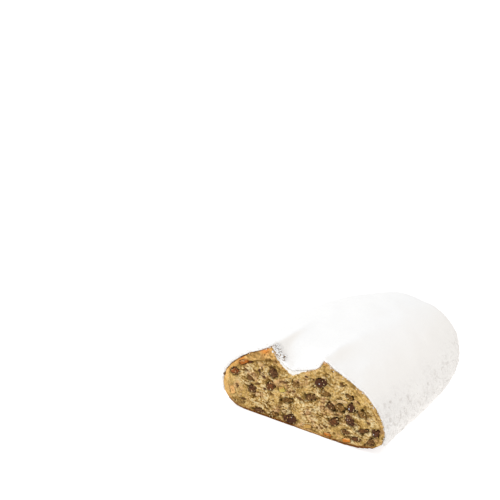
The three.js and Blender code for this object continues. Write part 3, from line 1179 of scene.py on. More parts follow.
# Where the crust glows orange: across from the middle, above the table, and how far around.
EMBERS = (
    (-28 * MM, 50 * MM, 6.5 * MM),
    (18 * MM, 53 * MM, 4.5 * MM),
    (-47 * MM, 38 * MM, 4.5 * MM),
)


class Zone(Enum):
    """Parts of the loaf: where each starts and is full, beside the middle and above the table."""

    RIGHT = ((14 * MM, 24 * MM), (3 * MM, 9 * MM))
    RIGHT_EDGE = ((16 * MM, 26 * MM), (5 * MM, 12 * MM))
    LEFT_LIP = ((-18 * MM, -24 * MM), (16 * MM, 26 * MM))
    LEFT_TOP = ((-19 * MM, -26 * MM), (20 * MM, 31 * MM))
    LEFT_EDGE = ((-46 * MM, -54 * MM), (5 * MM, 9 * MM))
    COATED = ((-22 * MM, -17 * MM), (8 * MM, 15 * MM))

    def share(self, points: Points) -> Values:
        """Tells how far each point lies in it, from 0 to 1."""
        side, height = self.value
        return smooth_step(points[:, 0] - MIDDLE, *side) * smooth_step(points[:, 2], *height)


@dataclass(frozen=True)
class CrustPart:
    """A stretch of the crust with a thickness of its own."""

    thickness: float
    left: float = -math.inf         # beside the middle
    right: float = math.inf
    low: float = -math.inf          # above the table
    high: float = math.inf

    def holds(self, across: Values, height: Values) -> Values:
        """Tells which places belong to it."""
        beside = (across >= self.left) & (across < self.right)
        return beside & (height >= self.low) & (height < self.high)


# A later part goes over the earlier ones.
CRUST_PARTS = (
    CrustPart(3.2 * MM),
    CrustPart(2.6 * MM, left=17 * MM, low=6 * MM),
    CrustPart(2.7 * MM, high=2 * MM),
    CrustPart(4.2 * MM, right=-24 * MM, low=6 * MM),
    CrustPart(3.8 * MM, left=-21 * MM, right=-6 * MM, low=30 * MM),
    CrustPart(0.6 * MM, left=-6 * MM, right=17 * MM, low=30 * MM),
)


class Skin:
    """The loaf's outer skin without its cut face, to measure distances from."""

    REACH = 5.5 * MM                # faces that stay this close to the cut are the cut face

    def __init__(self) -> None:
        """Reads the skin from the CAD loaf."""
        points = read_vectors(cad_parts["loaf"])
        faces = [tuple(face.vertices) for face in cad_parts["loaf"].data.polygons]
        far = points[:, 1] > CUT + self.REACH
        self.tree = BVHTree.FromPolygons(
            [tuple(point) for point in points],
            [face for face in faces if any(far[corner] for corner in face)],
        )

    def nearest(self, points: Points) -> tuple[Points, Points, Values]:
        """Finds the nearest place of the skin for each point.

        Args:
            points: Rows of X, Y and Z.

        Returns:
            The places, the skin's normals there, and the distances.
        """
        places = np.empty_like(points)
        normals = np.empty_like(points)
        distances = np.empty(len(points))
        for index, point in enumerate(points):
            place, normal, _, distance = self.tree.find_nearest(point)
            places[index] = place
            normals[index] = normal
            distances[index] = distance
        return places, normals, distances


@dataclass
class Pores:
    """Opened bubbles of the crumb."""

    count: int = 1300
    smallest: float = 0.28 * MM     # half width
    largest: float = 1.6 * MM
    skew: float = 6.0               # how few of them are large
    flattest: float = 0.4           # least height to width
    depth: float = 0.85             # depth to half width
    lean: float = 0.5               # the most that one leans to either side, in radians
    from_skin: float = 2.2 * MM     # none are nearer to the skin than this
    seed: int = 41

    def hollows(self, points: Points, inside: Values) -> Values:
        """Works out how deep the bubbles are at each point of the cut face.

        Args:
            points: Rows of X, Y and Z.
            inside: The distance of each point from the skin.

        Returns:
            Depths in metres.
        """
        draw = np.random.default_rng(self.seed)
        depths = np.zeros(len(points))
        order = np.argsort(points[:, 0])
        across = points[order, 0]
        candidates = np.flatnonzero(inside > self.from_skin)
        for centre in points[draw.choice(candidates, self.count)]:
            half = self.smallest + (self.largest - self.smallest) * draw.random() ** self.skew
            flat = draw.uniform(self.flattest, 1)
            lean = draw.uniform(-self.lean, self.lean)
            bed = Bed(Vector(centre), Vector((half, half, half * flat)), lean)
            start, end = np.searchsorted(across, (centre[0] - half, centre[0] + half))
            near = order[start:end]
            near = near[np.abs(points[near, 2] - centre[2]) < half]
            reach = bed.reach(points[near])
            bowl = half * self.depth * np.sqrt(np.clip(1 - reach**2, 0, 1))
            depths[near] = np.maximum(depths[near], bowl)
        return depths


@dataclass
class Surface:
    """The loaf's points, and what is known of each of them."""

    points: Points                  # they move as the relief is made
    places: Points                  # the nearest place of the skin
    outward: Points                 # the skin's normal there
    inside: Values                  # the distance from the skin
    front: Values                   # 1 on the cut face and 0 behind it
    noise: Noise                    # where the unevenness comes from

    @property
    def across(self) -> Values:
        """How far each point lies to the right of the loaf's middle."""
        return self.points[:, 0] - MIDDLE

    @property
    def height(self) -> Values:
        """How high each point lies above the table."""
        return self.points[:, 2]

    def uneven(self, length: float, shift: float = 0) -> Values:
        """Gives noise with lumps of one length; another shift gives others like them."""
        return self.noise.at(self.points + shift, length)


@dataclass
class Loaf:
    """Crumb and crust, one solid."""

    skin: Skin
    fruit: list[Fruit]              # the pieces that sit in its cut face
    voxel: float = 1.08 * MM
    hidden_share: float = 0.12      # share of the faces kept under the coat
    under_share: float = 0.35       # and underneath
    behind_cut: float = 7 * MM      # no faces are left out nearer to the cut than this
    under_coat: float = 12 * MM     # the coat hides all that is higher up
    flat_below: float = 0.8 * MM    # the underside is flat up to this height
    front_strip: float = 2.0 * MM   # how far behind the cut the mesh is made finer
    front_cuts: int = 3
    front_span: Span = (1.2 * MM, 0.4 * MM)     # from the crust behind the cut to the cut face
    open_span: Span = (0.25 * MM, 1.3 * MM)     # from the skin to the open crumb
    swell: float = 0.40 * MM        # heights of the relief on the cut face
    lumps: float = 0.45 * MM
    crags: float = 0.42 * MM
    grain: float = 0.20 * MM
    swell_length: float = 13 * MM   # and how wide its lumps are
    lump_length: float = 4.4 * MM
    crag_length: float = 2.8 * MM
    grain_length: float = 1.3 * MM
    grit_length: float = 0.8 * MM
    seam_depth: float = 0.35 * MM
    tone_spread: float = 0.72       # small for a crumb of strong contrast
    most_proud: float = 0.75 * MM
    stain_share: float = 0.6        # how strongly fruit stains the crumb round it
    crust_relief: float = 0.4 * MM
    crust_tone: float = 0.85        # how light the crust is behind the cut
    close_depth: Span = (9 * MM, 4 * MM)        # where the crumb beside the crust gets close
    close_height: Span = (3 * MM, 9 * MM)
    rim_depth: Span = (3.2 * MM, 1.2 * MM)      # where the right edge gets spots
    brown_depth: Span = (1.1 * MM, 0.3 * MM)    # and the brown line along the crust starts
    lower_depth: Span = (3.4 * MM, 1.9 * MM)    # which is wider at the lower edge
    far_end: Span = (90 * MM, 125 * MM)         # where the crust gets powdered behind the cut
    pores: Pores = field(default_factory=Pores)
    seed: int = 7

    def build(self, material: bpy.types.Material) -> bpy.types.Object:
        """Models the loaf and hands it over.

        Args:
            material: Its material.

        Returns:
            The loaf.
        """
        piece = copy_of_node("loaf", "stollen_loaf")
        self.close_front(piece)
        apply_modifier(piece, "REMESH", mode="VOXEL", voxel_size=self.voxel)
        self.thin_out_hidden(piece)
        self.refine_front(piece)
        self.shape(piece)
        smooth_shading(piece)
        hand_over(piece, material, ("loaf",))
        return piece

    def close_front(self, piece: bpy.types.Object) -> None:
        """Takes the cut face off with its pockets and closes the loaf with a plain one.

        Args:
            piece: The copy of the CAD loaf.
        """
        depth = read_vectors(piece)[:, 1] - CUT
        with editing(piece, face_values(piece, depth, "max") < Skin.REACH):
            bpy.ops.mesh.delete(type="FACE")
            bpy.ops.mesh.select_all(action="SELECT")
            bpy.ops.mesh.fill_holes(sides=0)
            bpy.ops.mesh.normals_make_consistent(inside=False)

    def thin_out_hidden(self, piece: bpy.types.Object) -> None:
        """Leaves few faces under the coat, and fewer than elsewhere underneath.

        Args:
            piece: The remeshed loaf.
        """
        points = read_vectors(piece)
        hidden = face_values(piece, points[:, 1], "min") > CUT + self.behind_cut
        hidden &= face_values(piece, points[:, 2], "min") > self.under_coat
        with editing(piece, hidden):
            bpy.ops.mesh.decimate(ratio=self.hidden_share)
        points = read_vectors(piece)
        under = face_values(piece, points[:, 1], "min") > CUT + self.behind_cut
        under &= face_values(piece, points[:, 2], "max") < self.flat_below
        with editing(piece, under):
            bpy.ops.mesh.decimate(ratio=self.under_share)

    def refine_front(self, piece: bpy.types.Object) -> None:
        """Divides the cut face and its rim into smaller faces.

        Args:
            piece: The remeshed loaf.
        """
        depth = read_vectors(piece)[:, 1] - CUT
        with editing(piece, face_values(piece, depth, "max") < self.front_strip):
            bpy.ops.mesh.subdivide(number_cuts=self.front_cuts)

    def shape(self, piece: bpy.types.Object) -> None:
        """Gives the cut face its crumb and the crust its unevenness, and keeps both for the finish.

        Args:
            piece: The refined loaf.
        """
        points = read_vectors(piece)
        front = smooth_step(points[:, 1] - CUT, *self.front_span)
        surface = Surface(points, *self.skin.nearest(points), front, Noise(self.seed))
        open_crumb = front * smooth_step(surface.inside, *self.open_span)
        thickness = self.crust_thickness(surface)
        above = self.above_crease(surface)
        crust = self.crust_share(surface, thickness, above)
        seam = self.seam(surface, thickness, above)
        height, tone = self.crumb_relief(surface, crust)
        hollow, dark, stain = self.pockets(surface)
        height = np.minimum(height - self.seam_depth * seam, self.most_proud) - hollow
        points[:, 1] -= open_crumb * height
        bumps = 0.5 * surface.uneven(9 * MM) + 0.35 * surface.uneven(3.2 * MM)
        sunk = self.crust_relief * np.clip(0.5 + bumps, 0, 1) * (1 - open_crumb)
        points -= surface.outward * sunk[:, None]
        write_points(piece, points)
        left_edge = Zone.LEFT_EDGE.share(points)
        by_skin = self.near_skin(surface)
        # The tears and the crease are painted darker as shade, in the tone here and in the hollow
        # attribute below.
        tone = self.finished_tone(surface, tone, by_skin, above) * (1 - 0.7 * seam)
        golden = 0.6 * smooth_step(surface.uneven(15 * MM, 2), 0.0, 0.45)
        golden = np.maximum(golden, np.maximum(0.4 * by_skin, 0.8 * left_edge))
        # How much painted shade lies in the pores, the fruit's pockets, the tears and the crease.
        dark = 0.72 * np.maximum(dark, 0.8 * seam) * open_crumb * (1 - 0.8 * left_edge)
        keep_values(
            piece,
            crust=np.maximum(crust, 1 - front),
            hollow=dark,
            tone=np.where(front > 0.5, tone, self.crust_tone),
            golden=golden,
            stain=stain * open_crumb,
            ember=self.ember(surface),
            bake=self.bake(surface),
            dust=self.dust(surface),
            powdered=self.powdered(surface),
        )

    def crumb_relief(self, surface: Surface, crust: Values) -> tuple[Values, Values]:
        """Works out the torn relief of the crumb, and its tone, darker in the folds.

        Args:
            surface: The loaf's points.
            crust: 1 where there is crust and 0 where there is crumb.

        Returns:
            Heights in metres, and tones from 0 to 1.
        """
        noise = surface.noise
        warp = noise.warp(surface.points, self.swell_length, (1, 5, 9))
        folded = (surface.points + 4 * MM * warp) * (0.7, 1, 1.5)
        lumps = noise.at(folded + 0.3, self.lump_length)
        crags = noise.ridges(folded + 0.7, self.crag_length)
        grain = surface.uneven(self.grain_length)
        grit = surface.uneven(self.grit_length, 0.2)
        height = self.swell * surface.uneven(self.swell_length) + self.lumps * lumps
        height += 0.7 * self.crags * crags + self.grain * (grain + 0.5 * grit)
        streaks = noise.at(folded * (0.6, 1, 1.4) + 0.9, 2.2 * MM)
        patches = surface.uneven(6.5 * MM, 0.4)
        mixed = 0.35 * lumps - 0.35 * crags + 0.6 * grain + 0.35 * grit
        mixed += 0.8 * streaks + 0.4 * patches + 0.1
        tone = smooth_step(mixed, -self.tone_spread, self.tone_spread)
        return height * (1 - 0.65 * crust), tone

    def pockets(self, surface: Surface) -> tuple[Values, Values, Values]:
        """Works out the opened bubbles and the pockets of the fruit.

        Args:
            surface: The loaf's points.

        Returns:
            Depths in metres, how much painted shade lies in them, and how much the fruit has
            stained the crumb.
        """
        hollow = self.pores.hollows(surface.points, surface.inside * surface.front)
        bubbles = smooth_step(hollow, 0.2 * MM, 1.1 * MM)
        stain = np.zeros(len(hollow))
        wobble = surface.uneven(3.4 * MM, 0.8) + 0.4 * surface.uneven(1.5 * MM, 0.3)
        for one in (*self.fruit, *SCRAPS):
            pocket = one.pocket
            reach = pocket.bed.reach(surface.points, pocket.room) * (1 + pocket.overhang * wobble)
            bowl = np.sqrt(np.clip(1 - reach**2, 0, 1))
            hollow = np.maximum(hollow, pocket.deepness * pocket.bed.half.y * bowl)
            stained = smooth_step(reach, pocket.stained, 1.0)
            stain = np.maximum(stain, self.stain_share * stained)
        # The painted shade grows with the depth of each pore and pocket.
        dark = np.maximum(smooth_step(hollow, 0.25 * MM, 1.3 * MM), bubbles)
        return hollow, dark, stain

    def near_skin(self, surface: Surface) -> Values:
        """Tells where the crumb is close and golden: beside the crust, but not underneath.

        Args:
            surface: The loaf's points.

        Returns:
            1 there and 0 elsewhere.
        """
        deep = surface.inside + 2.5 * MM * surface.uneven(7 * MM, 0.9)
        close = smooth_step(deep, *self.close_depth)
        return close * smooth_step(surface.places[:, 2], *self.close_height)

    @staticmethod
    def marks(surface: Surface) -> Values:
        """Gives small brown marks, 1 on them and 0 beside them."""
        flattened = surface.points * (1, 1, 1.3) + 0.35
        return smooth_step(surface.noise.at(flattened, 3.6 * MM), 0.1, 0.55)

    @staticmethod
    def crust_share(surface: Surface, thickness: Values, above: Values) -> Values:
        """Tells crust from crumb on the cut face.

        Args:
            surface: The loaf's points.
            thickness: How thick the crust is.
            above: How far each point lies above the crease at the left lip.

        Returns:
            1 for crust, which is strongest at the left lip and underneath, and 0 for crumb.
        """
        ragged = surface.inside + 0.7 * MM * surface.uneven(2.6 * MM, 0.25)
        crust = smooth_step(ragged, thickness * 1.15, thickness * 0.55)
        right = Zone.RIGHT.share(surface.places)
        low = smooth_step(surface.places[:, 2], 8 * MM, 2 * MM)
        firm = np.maximum(Zone.LEFT_LIP.share(surface.places), low)
        crust *= 1 - surface.front * (0.75 * right + 0.35 * (1 - right) * (1 - firm))
        return np.maximum(crust, 0.82 * surface.front * smooth_step(above, -0.2 * MM, 0.9 * MM))

    @staticmethod
    def crust_thickness(surface: Surface) -> Values:
        """Tells how thick the crust is under each place of the skin.

        Args:
            surface: The loaf's points.

        Returns:
            The thickness in metres.
        """
        across = surface.places[:, 0] - MIDDLE
        thickness = np.zeros(len(across))
        for part in CRUST_PARTS:
            held = part.holds(across, surface.places[:, 2])
            thickness = np.where(held, part.thickness, thickness)
        return thickness * (1 + 0.4 * surface.uneven(7 * MM, 0.5))

    @staticmethod
    def above_crease(surface: Surface) -> Values:
        """Tells how far points lie above the crease that sets off the left lip.

        Args:
            surface: The loaf's points.

        Returns:
            Heights in metres, and far below it where there is no crease.
        """
        left, right = CREASE
        across = surface.across
        line = np.interp(across, (left[0], right[0]), (left[1], right[1]))
        above = surface.height - line + 0.9 * MM * surface.uneven(4 * MM, 0.55)
        beside = smooth_step(across, left[0] - 1 * MM, left[0] + 2 * MM)
        beside *= smooth_step(across, right[0] + 1.5 * MM, right[0])
        return above * beside - 50 * MM * (1 - beside)

    @staticmethod
    def seam(surface: Surface, thickness: Values, above: Values) -> Values:
        """Tells where the crumb has torn a little way off the crust, and where the crease is; both
        get painted shade.

        Args:
            surface: The loaf's points.
            thickness: How thick the crust is.
            above: How far each point lies above the crease.

        Returns:
            1 in the tears and 0 beside them.
        """
        left = smooth_step(surface.across, 10 * MM, -25 * MM)
        width = (0.45 + 0.4 * left) * MM
        line = np.exp(-(((surface.inside - 1.1 * thickness) / width) ** 2))
        broken = smooth_step(surface.uneven(5 * MM, 0.7), -0.25 - 0.5 * left, 0.35)
        torn = line * broken * smooth_step(thickness, 0.8 * MM, 1.6 * MM)
        crease = np.exp(-(((above + 0.8 * MM) / (1.0 * MM)) ** 2))
        return np.maximum(torn * (above < -3 * MM), crease)

    def finished_tone(
        self, surface: Surface, tone: Values, by_skin: Values, above: Values
    ) -> Values:
        """Evens the crumb's tone near the skin, and darkens it in spots there.

        Args:
            surface: The loaf's points.
            tone: The tone of the torn crumb.
            by_skin: 1 beside the crust.
            above: How far each point lies above the crease at the left lip.

        Returns:
            Tones from 0 to 1.
        """
        right = Zone.RIGHT.share(surface.places)
        tone = tone + by_skin * (0.3 * (0.74 - tone) - 0.45 * self.marks(surface))
        tone += 0.85 * Zone.LEFT_EDGE.share(surface.points) * (0.93 - tone)
        flap = 0.5 * surface.front * smooth_step(above, 0, 1 * MM)
        rim = np.maximum(right * smooth_step(surface.inside, *self.rim_depth), flap)
        burnt = surface.uneven(5.5 * MM, 0.65) + 0.7 * surface.uneven(2.4 * MM, 0.35)
        return tone + 0.05 * right - 0.85 * rim * smooth_step(burnt, -0.1, 0.35)

    @staticmethod
    def ember(surface: Surface) -> Values:
        """Tells where the crust has baked to a deep orange: at the lips and in spots.

        Args:
            surface: The loaf's points.

        Returns:
            0 for none to 1 for full.
        """
        glow = np.zeros(len(surface.points))
        for across, height, reach in EMBERS:
            distance = np.hypot(surface.across - across, surface.height - height)
            glow = np.maximum(glow, smooth_step(distance, reach, 0.25 * reach))
        spots = smooth_step(surface.uneven(4.5 * MM, 0.15), 0.2, 0.6)
        return np.clip(0.85 * glow + 0.2 * spots, 0, 1)

    def bake(self, surface: Surface) -> Values:
        """Tells how brown the crust is, most of all underneath.

        Args:
            surface: The loaf's points.

        Returns:
            0 for golden to 1 for brown.
        """
        under = smooth_step(surface.outward[:, 2], -0.35, -0.95) * 0.4
        left_top = Zone.LEFT_TOP.share(surface.points)
        low = smooth_step(surface.height, 10 * MM, 4 * MM)
        outer = smooth_step(surface.inside, *self.brown_depth)
        ragged = surface.inside + 0.8 * MM * surface.uneven(3 * MM)
        deeper = smooth_step(ragged, *self.lower_depth)
        patchy = 0.85 + 0.6 * surface.uneven(6 * MM)
        line = (0.12 + 0.75 * left_top + under) * outer * patchy
        line += low * deeper * np.interp(surface.across, LOWER_EDGE_PLACES, LOWER_EDGE_SHARES)
        marks = 0.8 * Zone.RIGHT_EDGE.share(surface.points) * self.marks(surface)
        return np.clip(np.maximum(line, marks), 0, 1)

    def powdered(self, surface: Surface) -> Values:
        """Tells where the loaf is white with sugar: behind the cut and where some has spilled.

        Args:
            surface: The loaf's points.

        Returns:
            0 for bare to 1 for white.
        """
        behind = 1 - surface.front
        uneven = surface.inside + 0.5 * MM * surface.uneven(1.7 * MM)
        spill = smooth_step(uneven, 0.35 * MM, 0.0)
        deep = np.interp(surface.across, SPILL_PLACES, SPILL_DEPTHS) * (surface.height > 30 * MM)
        heap = smooth_step(uneven, deep, 0.75 * deep) * (deep > 0.4 * MM)
        over_edge = np.maximum(0.5 * spill * surface.front, heap)
        far = smooth_step(surface.points[:, 1] - CUT, *self.far_end) * behind
        far *= smooth_step(surface.height + 1.5 * MM * surface.uneven(5 * MM), 1 * MM, 4 * MM)
        near = Zone.COATED.share(surface.points) * np.maximum(0.9 * behind, over_edge)
        return np.maximum(near, 0.95 * far)

    @staticmethod
    def dust(surface: Surface) -> Values:
        """Tells how much sugar has fallen on the crust below the coat, behind the cut."""
        low = smooth_step(surface.height, 1 * MM, 8 * MM)
        return np.clip(low * (0.75 + 0.5 * surface.uneven(6 * MM)) * (1 - surface.front), 0, 1)


# ---------------------------------------------------------------- the icing sugar


@dataclass
class SugarCoat:
    """The thick coat of icing sugar over the loaf's back."""

    skin: Skin
    voxel: float = 0.92 * MM
    outside: float = 0.8 * MM       # what lies further from the skin is the coat's outside
    inside: float = 0.75 * MM       # what lies closer is its inside
    inner_share: float = 0.06       # share of the faces kept on the inside
    inner_from: float = 4 * MM      # but none are left out this close to the cut or the table
    softness: int = 110             # how far the lips of the slit are rounded
    soft_lift: Span = (0.6 * MM, 1.2 * MM)      # where it lies thick enough to be rounded
    soft_behind: Span = (1.5 * MM, 9 * MM)      # how far behind the cut
    soft_height: Span = (5 * MM, 14 * MM)       # how high above the table
    flank_side: Span = (28 * MM, 45 * MM)       # and where less so, to either side
    soft_lumps: float = 0.30 * MM   # heights of the relief
    clumps: float = 0.75 * MM
    pit_depth: float = 0.6 * MM
    thinnest: float = 0.8 * MM
    sunk_inside: float = 0.4 * MM   # how far the inside sits in the crust
    ragged: float = 1.0 * MM        # how far the edge at the cut steps back and forth
    broken: float = 3.5 * MM        # how much further back it is broken at the left lip
    broken_at: Span = (-19 * MM, 51 * MM)       # beside the middle and above the table
    rough_below: float = 48 * MM    # the flanks are rough from this height down
    fine_side: Span = (42 * MM, 60 * MM)        # where the right flank's mesh gets finer
    settled: float = 0.5            # how far the sugar fills the slit behind the cut
    settled_row: float = 2 * MM     # it settles in rows of this width
    settled_behind: Span = (1 * MM, 22 * MM)    # and how far behind the cut
    lips: Span = (-21.9 * MM, 17.6 * MM)        # where they stand beside the middle
    lip_width: float = 2.5 * MM     # to each side
    hem_wave: float = 0.8 * MM
    lowest: float = 0.5 * MM
    seed: int = 19
    noise: Noise = field(init=False)

    def __post_init__(self) -> None:
        """Draws the noise that its relief comes from."""
        self.noise = Noise(self.seed)

    def build(self, material: bpy.types.Material) -> bpy.types.Object:
        """Models the coat and hands it over.

        Args:
            material: Its material.

        Returns:
            The coat.
        """
        piece = copy_of_node("sugar_coat", "icing_sugar_coat")
        apply_modifier(piece, "REMESH", mode="VOXEL", voxel_size=self.voxel)
        self.settle(piece)
        self.soften(piece)
        self.thin_out_inside(piece)
        self.refine_steep(piece)
        self.shape(piece)
        smooth_shading(piece)
        hand_over(piece, material, ("sugar_coat",))
        return piece

    def settle(self, piece: bpy.types.Object) -> None:
        """Lets the sugar lie deeper in the slit, further from the cut.

        Args:
            piece: The remeshed coat.
        """
        points = read_vectors(piece)
        across = points[:, 0] - MIDDLE
        behind = points[:, 1] - CUT
        outside = self.skin.nearest(points)[2] > self.outside
        between = outside & (across > self.lips[0]) & (across < self.lips[1])
        rows = np.floor(behind / self.settled_row).astype(int)
        share = self.settled * smooth_step(behind, *self.settled_behind)
        for row in np.unique(rows[between]):
            here = between & (rows == row)
            tops = []
            for lip in self.lips:
                on_lip = outside & (rows == row) & (np.abs(across - lip) < self.lip_width)
                tops.append(points[on_lip, 2].max(initial=0))
            chord = np.interp(across[here], self.lips, tops)
            points[here, 2] += share[here] * np.maximum(chord - points[here, 2], 0)
        write_points(piece, points)

    def soften(self, piece: bpy.types.Object) -> None:
        """Rounds the coat where it lies thick, most of all over the lips of the slit.

        Args:
            piece: The remeshed coat.
        """
        points = read_vectors(piece)
        soft = smooth_step(self.skin.nearest(points)[2], *self.soft_lift)
        soft *= smooth_step(points[:, 1] - CUT, *self.soft_behind)
        flank = smooth_step(np.abs(points[:, 0] - MIDDLE), *self.flank_side)
        soft *= smooth_step(points[:, 2], *self.soft_height) * (1 - 0.75 * flank)
        group = piece.vertex_groups.new(name="soft")
        steps = np.round(soft * 10).astype(int)
        for step in range(1, 11):
            group.add(np.flatnonzero(steps == step).tolist(), step / 10, "REPLACE")
        rounds = {"factor": 0.5, "iterations": self.softness, "vertex_group": group.name}
        apply_modifier(piece, "SMOOTH", **rounds)
        piece.vertex_groups.clear()
        apply_modifier(piece, "SMOOTH", factor=0.5, iterations=3)

    def thin_out_inside(self, piece: bpy.types.Object) -> None:
        """Leaves few faces on the side that nobody sees.

        Args:
            piece: The remeshed coat.
        """
        points = read_vectors(piece)
        _, outward, lift = self.skin.nearest(points)
        faced = np.einsum("ij,ij->i", read_vectors(piece, "normal"), outward)
        hidden = face_values(piece, np.where(faced < -0.3, lift, 1), "max") < self.inside
        hidden &= face_values(piece, points[:, 1], "min") > CUT + self.inner_from
        hidden &= face_values(piece, points[:, 2], "min") > self.inner_from
        with editing(piece, hidden):
            bpy.ops.mesh.decimate(ratio=self.inner_share)

    def refine_steep(self, piece: bpy.types.Object) -> None:
        """Divides the outside of the steep right flank into smaller faces.

        Args:
            piece: The coat.
        """
        points = read_vectors(piece)
        lift = self.skin.nearest(points)[2]
        right = smooth_step(points[:, 0] + 0.35 * (points[:, 1] - CUT), *self.fine_side)
        low = smooth_step(points[:, 2], 0.9 * self.rough_below, 0.65 * self.rough_below)
        fine = face_values(piece, right * low * (lift > 1.0 * MM)) > 0.45
        with editing(piece, fine):
            bpy.ops.mesh.subdivide(number_cuts=1)

    def roughness(self, points: Points, outward: Points) -> Values:
        """Tells how clumpy the sugar is: more on the steep low flanks, most of all by the cut.

        Args:
            points: Rows of X, Y and Z.
            outward: The coat's normals.

        Returns:
            0 for smooth to 1 for rough.
        """
        steep = smooth_step(outward[:, 2], 0.85, 0.42)
        wander = points[:, 2] + 7 * MM * self.noise.at(points, 17 * MM)
        low = smooth_step(wander, self.rough_below, 0.5 * self.rough_below)
        near = smooth_step(points[:, 1] - CUT, 45 * MM, 8 * MM)
        patchy = 0.7 + 0.5 * self.noise.at(points + 0.3, 8 * MM) + 0.4 * near
        return np.clip(steep * low * patchy, 0, 1)

    def relief(self, points: Points, rough: Values) -> Values:
        """Works out the soft lumps and the clumps.

        Args:
            points: Rows of X, Y and Z.
            rough: How clumpy the sugar is.

        Returns:
            Heights in metres.
        """
        noise = self.noise
        height = self.soft_lumps * noise.at(points, 11 * MM)
        height += rough * self.clumps * 0.5 * noise.at(points + 0.2, 4.2 * MM)
        height += (0.08 + 0.92 * rough) * self.clumps * 0.5 * noise.at(points + 0.4, 2.0 * MM)
        height += rough * self.clumps * 0.3 * noise.at(points + 0.9, 1.2 * MM)
        return height

    def shape(self, piece: bpy.types.Object) -> None:
        """Gives the coat its clumps, pits and broken edges, and keeps them for the finish.

        Args:
            piece: The refined coat.
        """
        points = read_vectors(piece)
        _, outward, lift = self.skin.nearest(points)
        faced = read_vectors(piece, "normal")
        turned_out = np.einsum("ij,ij->i", faced, outward)
        inner = smooth_step(turned_out, 0.2, -0.2)
        outer = smooth_step(lift, 0.7 * MM, 1.2 * MM) * (1 - inner)
        rough = self.roughness(points, faced)
        height = self.relief(points, rough)
        gaps = self.noise.at(points + 0.6, 3.4 * MM) + 0.6 * self.noise.at(points + 0.8, 1.8 * MM)
        pit = outer * rough * smooth_step(gaps, 0.1, 0.9)
        points += outward * (outer * height - self.pit_depth * pit)[:, None]
        thin = np.maximum(self.thinnest - lift, 0) * smooth_step(turned_out, 0.3, 0.7)
        points += outward * (thin - inner * self.sunk_inside)[:, None]
        self.break_edges(points)
        write_points(piece, points)
        # The rim at the cut on the right flank is painted greyer as shade, through the rough and
        # pit values.
        rim = smooth_step(points[:, 1] - CUT, 1.6 * MM, 0.4 * MM)
        rim *= smooth_step(points[:, 0] - MIDDLE, 18 * MM, 30 * MM)
        keep_values(
            piece,
            rough=np.clip(0.1 + 0.9 * rough + 0.3 * rim, 0, 1),
            pit=0.7 * pit + 0.1 * rim * (1 - pit),
            # the flank that faces right gets the painted bounce tint
            warm=smooth_step(faced[:, 0], 0.1, 0.6),
        )

    def break_edges(self, points: Points) -> None:
        """Makes the edge at the cut and the lower edge uneven.

        Args:
            points: Rows of X, Y and Z, which are changed.
        """
        noise = self.noise
        along = points * (1, 0, 1)
        back = noise.at(along, 5 * MM) + 0.6 * noise.at(along + 0.1, 1.9 * MM)
        share = smooth_step(points[:, 1] - CUT, 6 * MM, 0)
        across, height = self.broken_at
        lip = np.hypot(points[:, 0] - MIDDLE - across, points[:, 2] - height)
        torn = self.broken * smooth_step(lip, 7.5 * MM, 3 * MM) * (0.6 + 0.8 * back)
        step = self.ragged * np.clip(back - 0.1, -0.5, 1.2) + np.maximum(torn, 0)
        points[:, 1] += share * step
        hem = smooth_step(points[:, 2], 12 * MM, 4 * MM)
        wave = noise.at(points + 0.6, 4 * MM) + 0.5 * noise.at(points, 1.8 * MM)
        points[:, 2] += hem * self.hem_wave * np.clip(wave, -1, 1)
        points[:, 2] = np.maximum(points[:, 2], self.lowest)


# ---------------------------------------------------------------- loose bits


@dataclass(frozen=True)
class Lump:
    """One small loose bit: where it lies, how large it is, and what its finish reads."""

    centre: Place
    half: Place
    lean: float
    finish: tuple[float, ...]

    @classmethod
    def leaning(
        cls,
        draw: np.random.Generator,
        centre: Place,
        half: float,
        shares: Place,
        finish: tuple[float, ...],
    ) -> "Lump":
        """Makes a bit that leans at random.

        Args:
            draw: The source of chance.
            centre: Where it lies.
            half: Its half width.
            shares: Its width, depth and height as shares of that.
            finish: What its finish reads.

        Returns:
            The bit.
        """
        return cls(centre, tuple(half * share for share in shares), draw.uniform(0, 3), finish)


@dataclass(frozen=True)
class BrokenLip:
    """The strip down the slit's left wall where the cut has broken the coat."""

    top: Span                       # beside the middle and above the table
    run: Span                       # from there to its lower end
    spread: Span                    # how many millimetres bits lie beside it

    def beside(self, share: float, draw: np.random.Generator) -> Span:
        """Draws a place near the strip.

        Args:
            share: 0 at its top to 1 at its lower end.
            draw: The source of chance.

        Returns:
            How far it lies to the right, and how high.
        """
        across = self.top[0] + self.run[0] * share + draw.normal(0, self.spread[0]) * MM
        height = self.top[1] + self.run[1] * share + draw.normal(0, self.spread[1]) * MM
        return MIDDLE + across, height


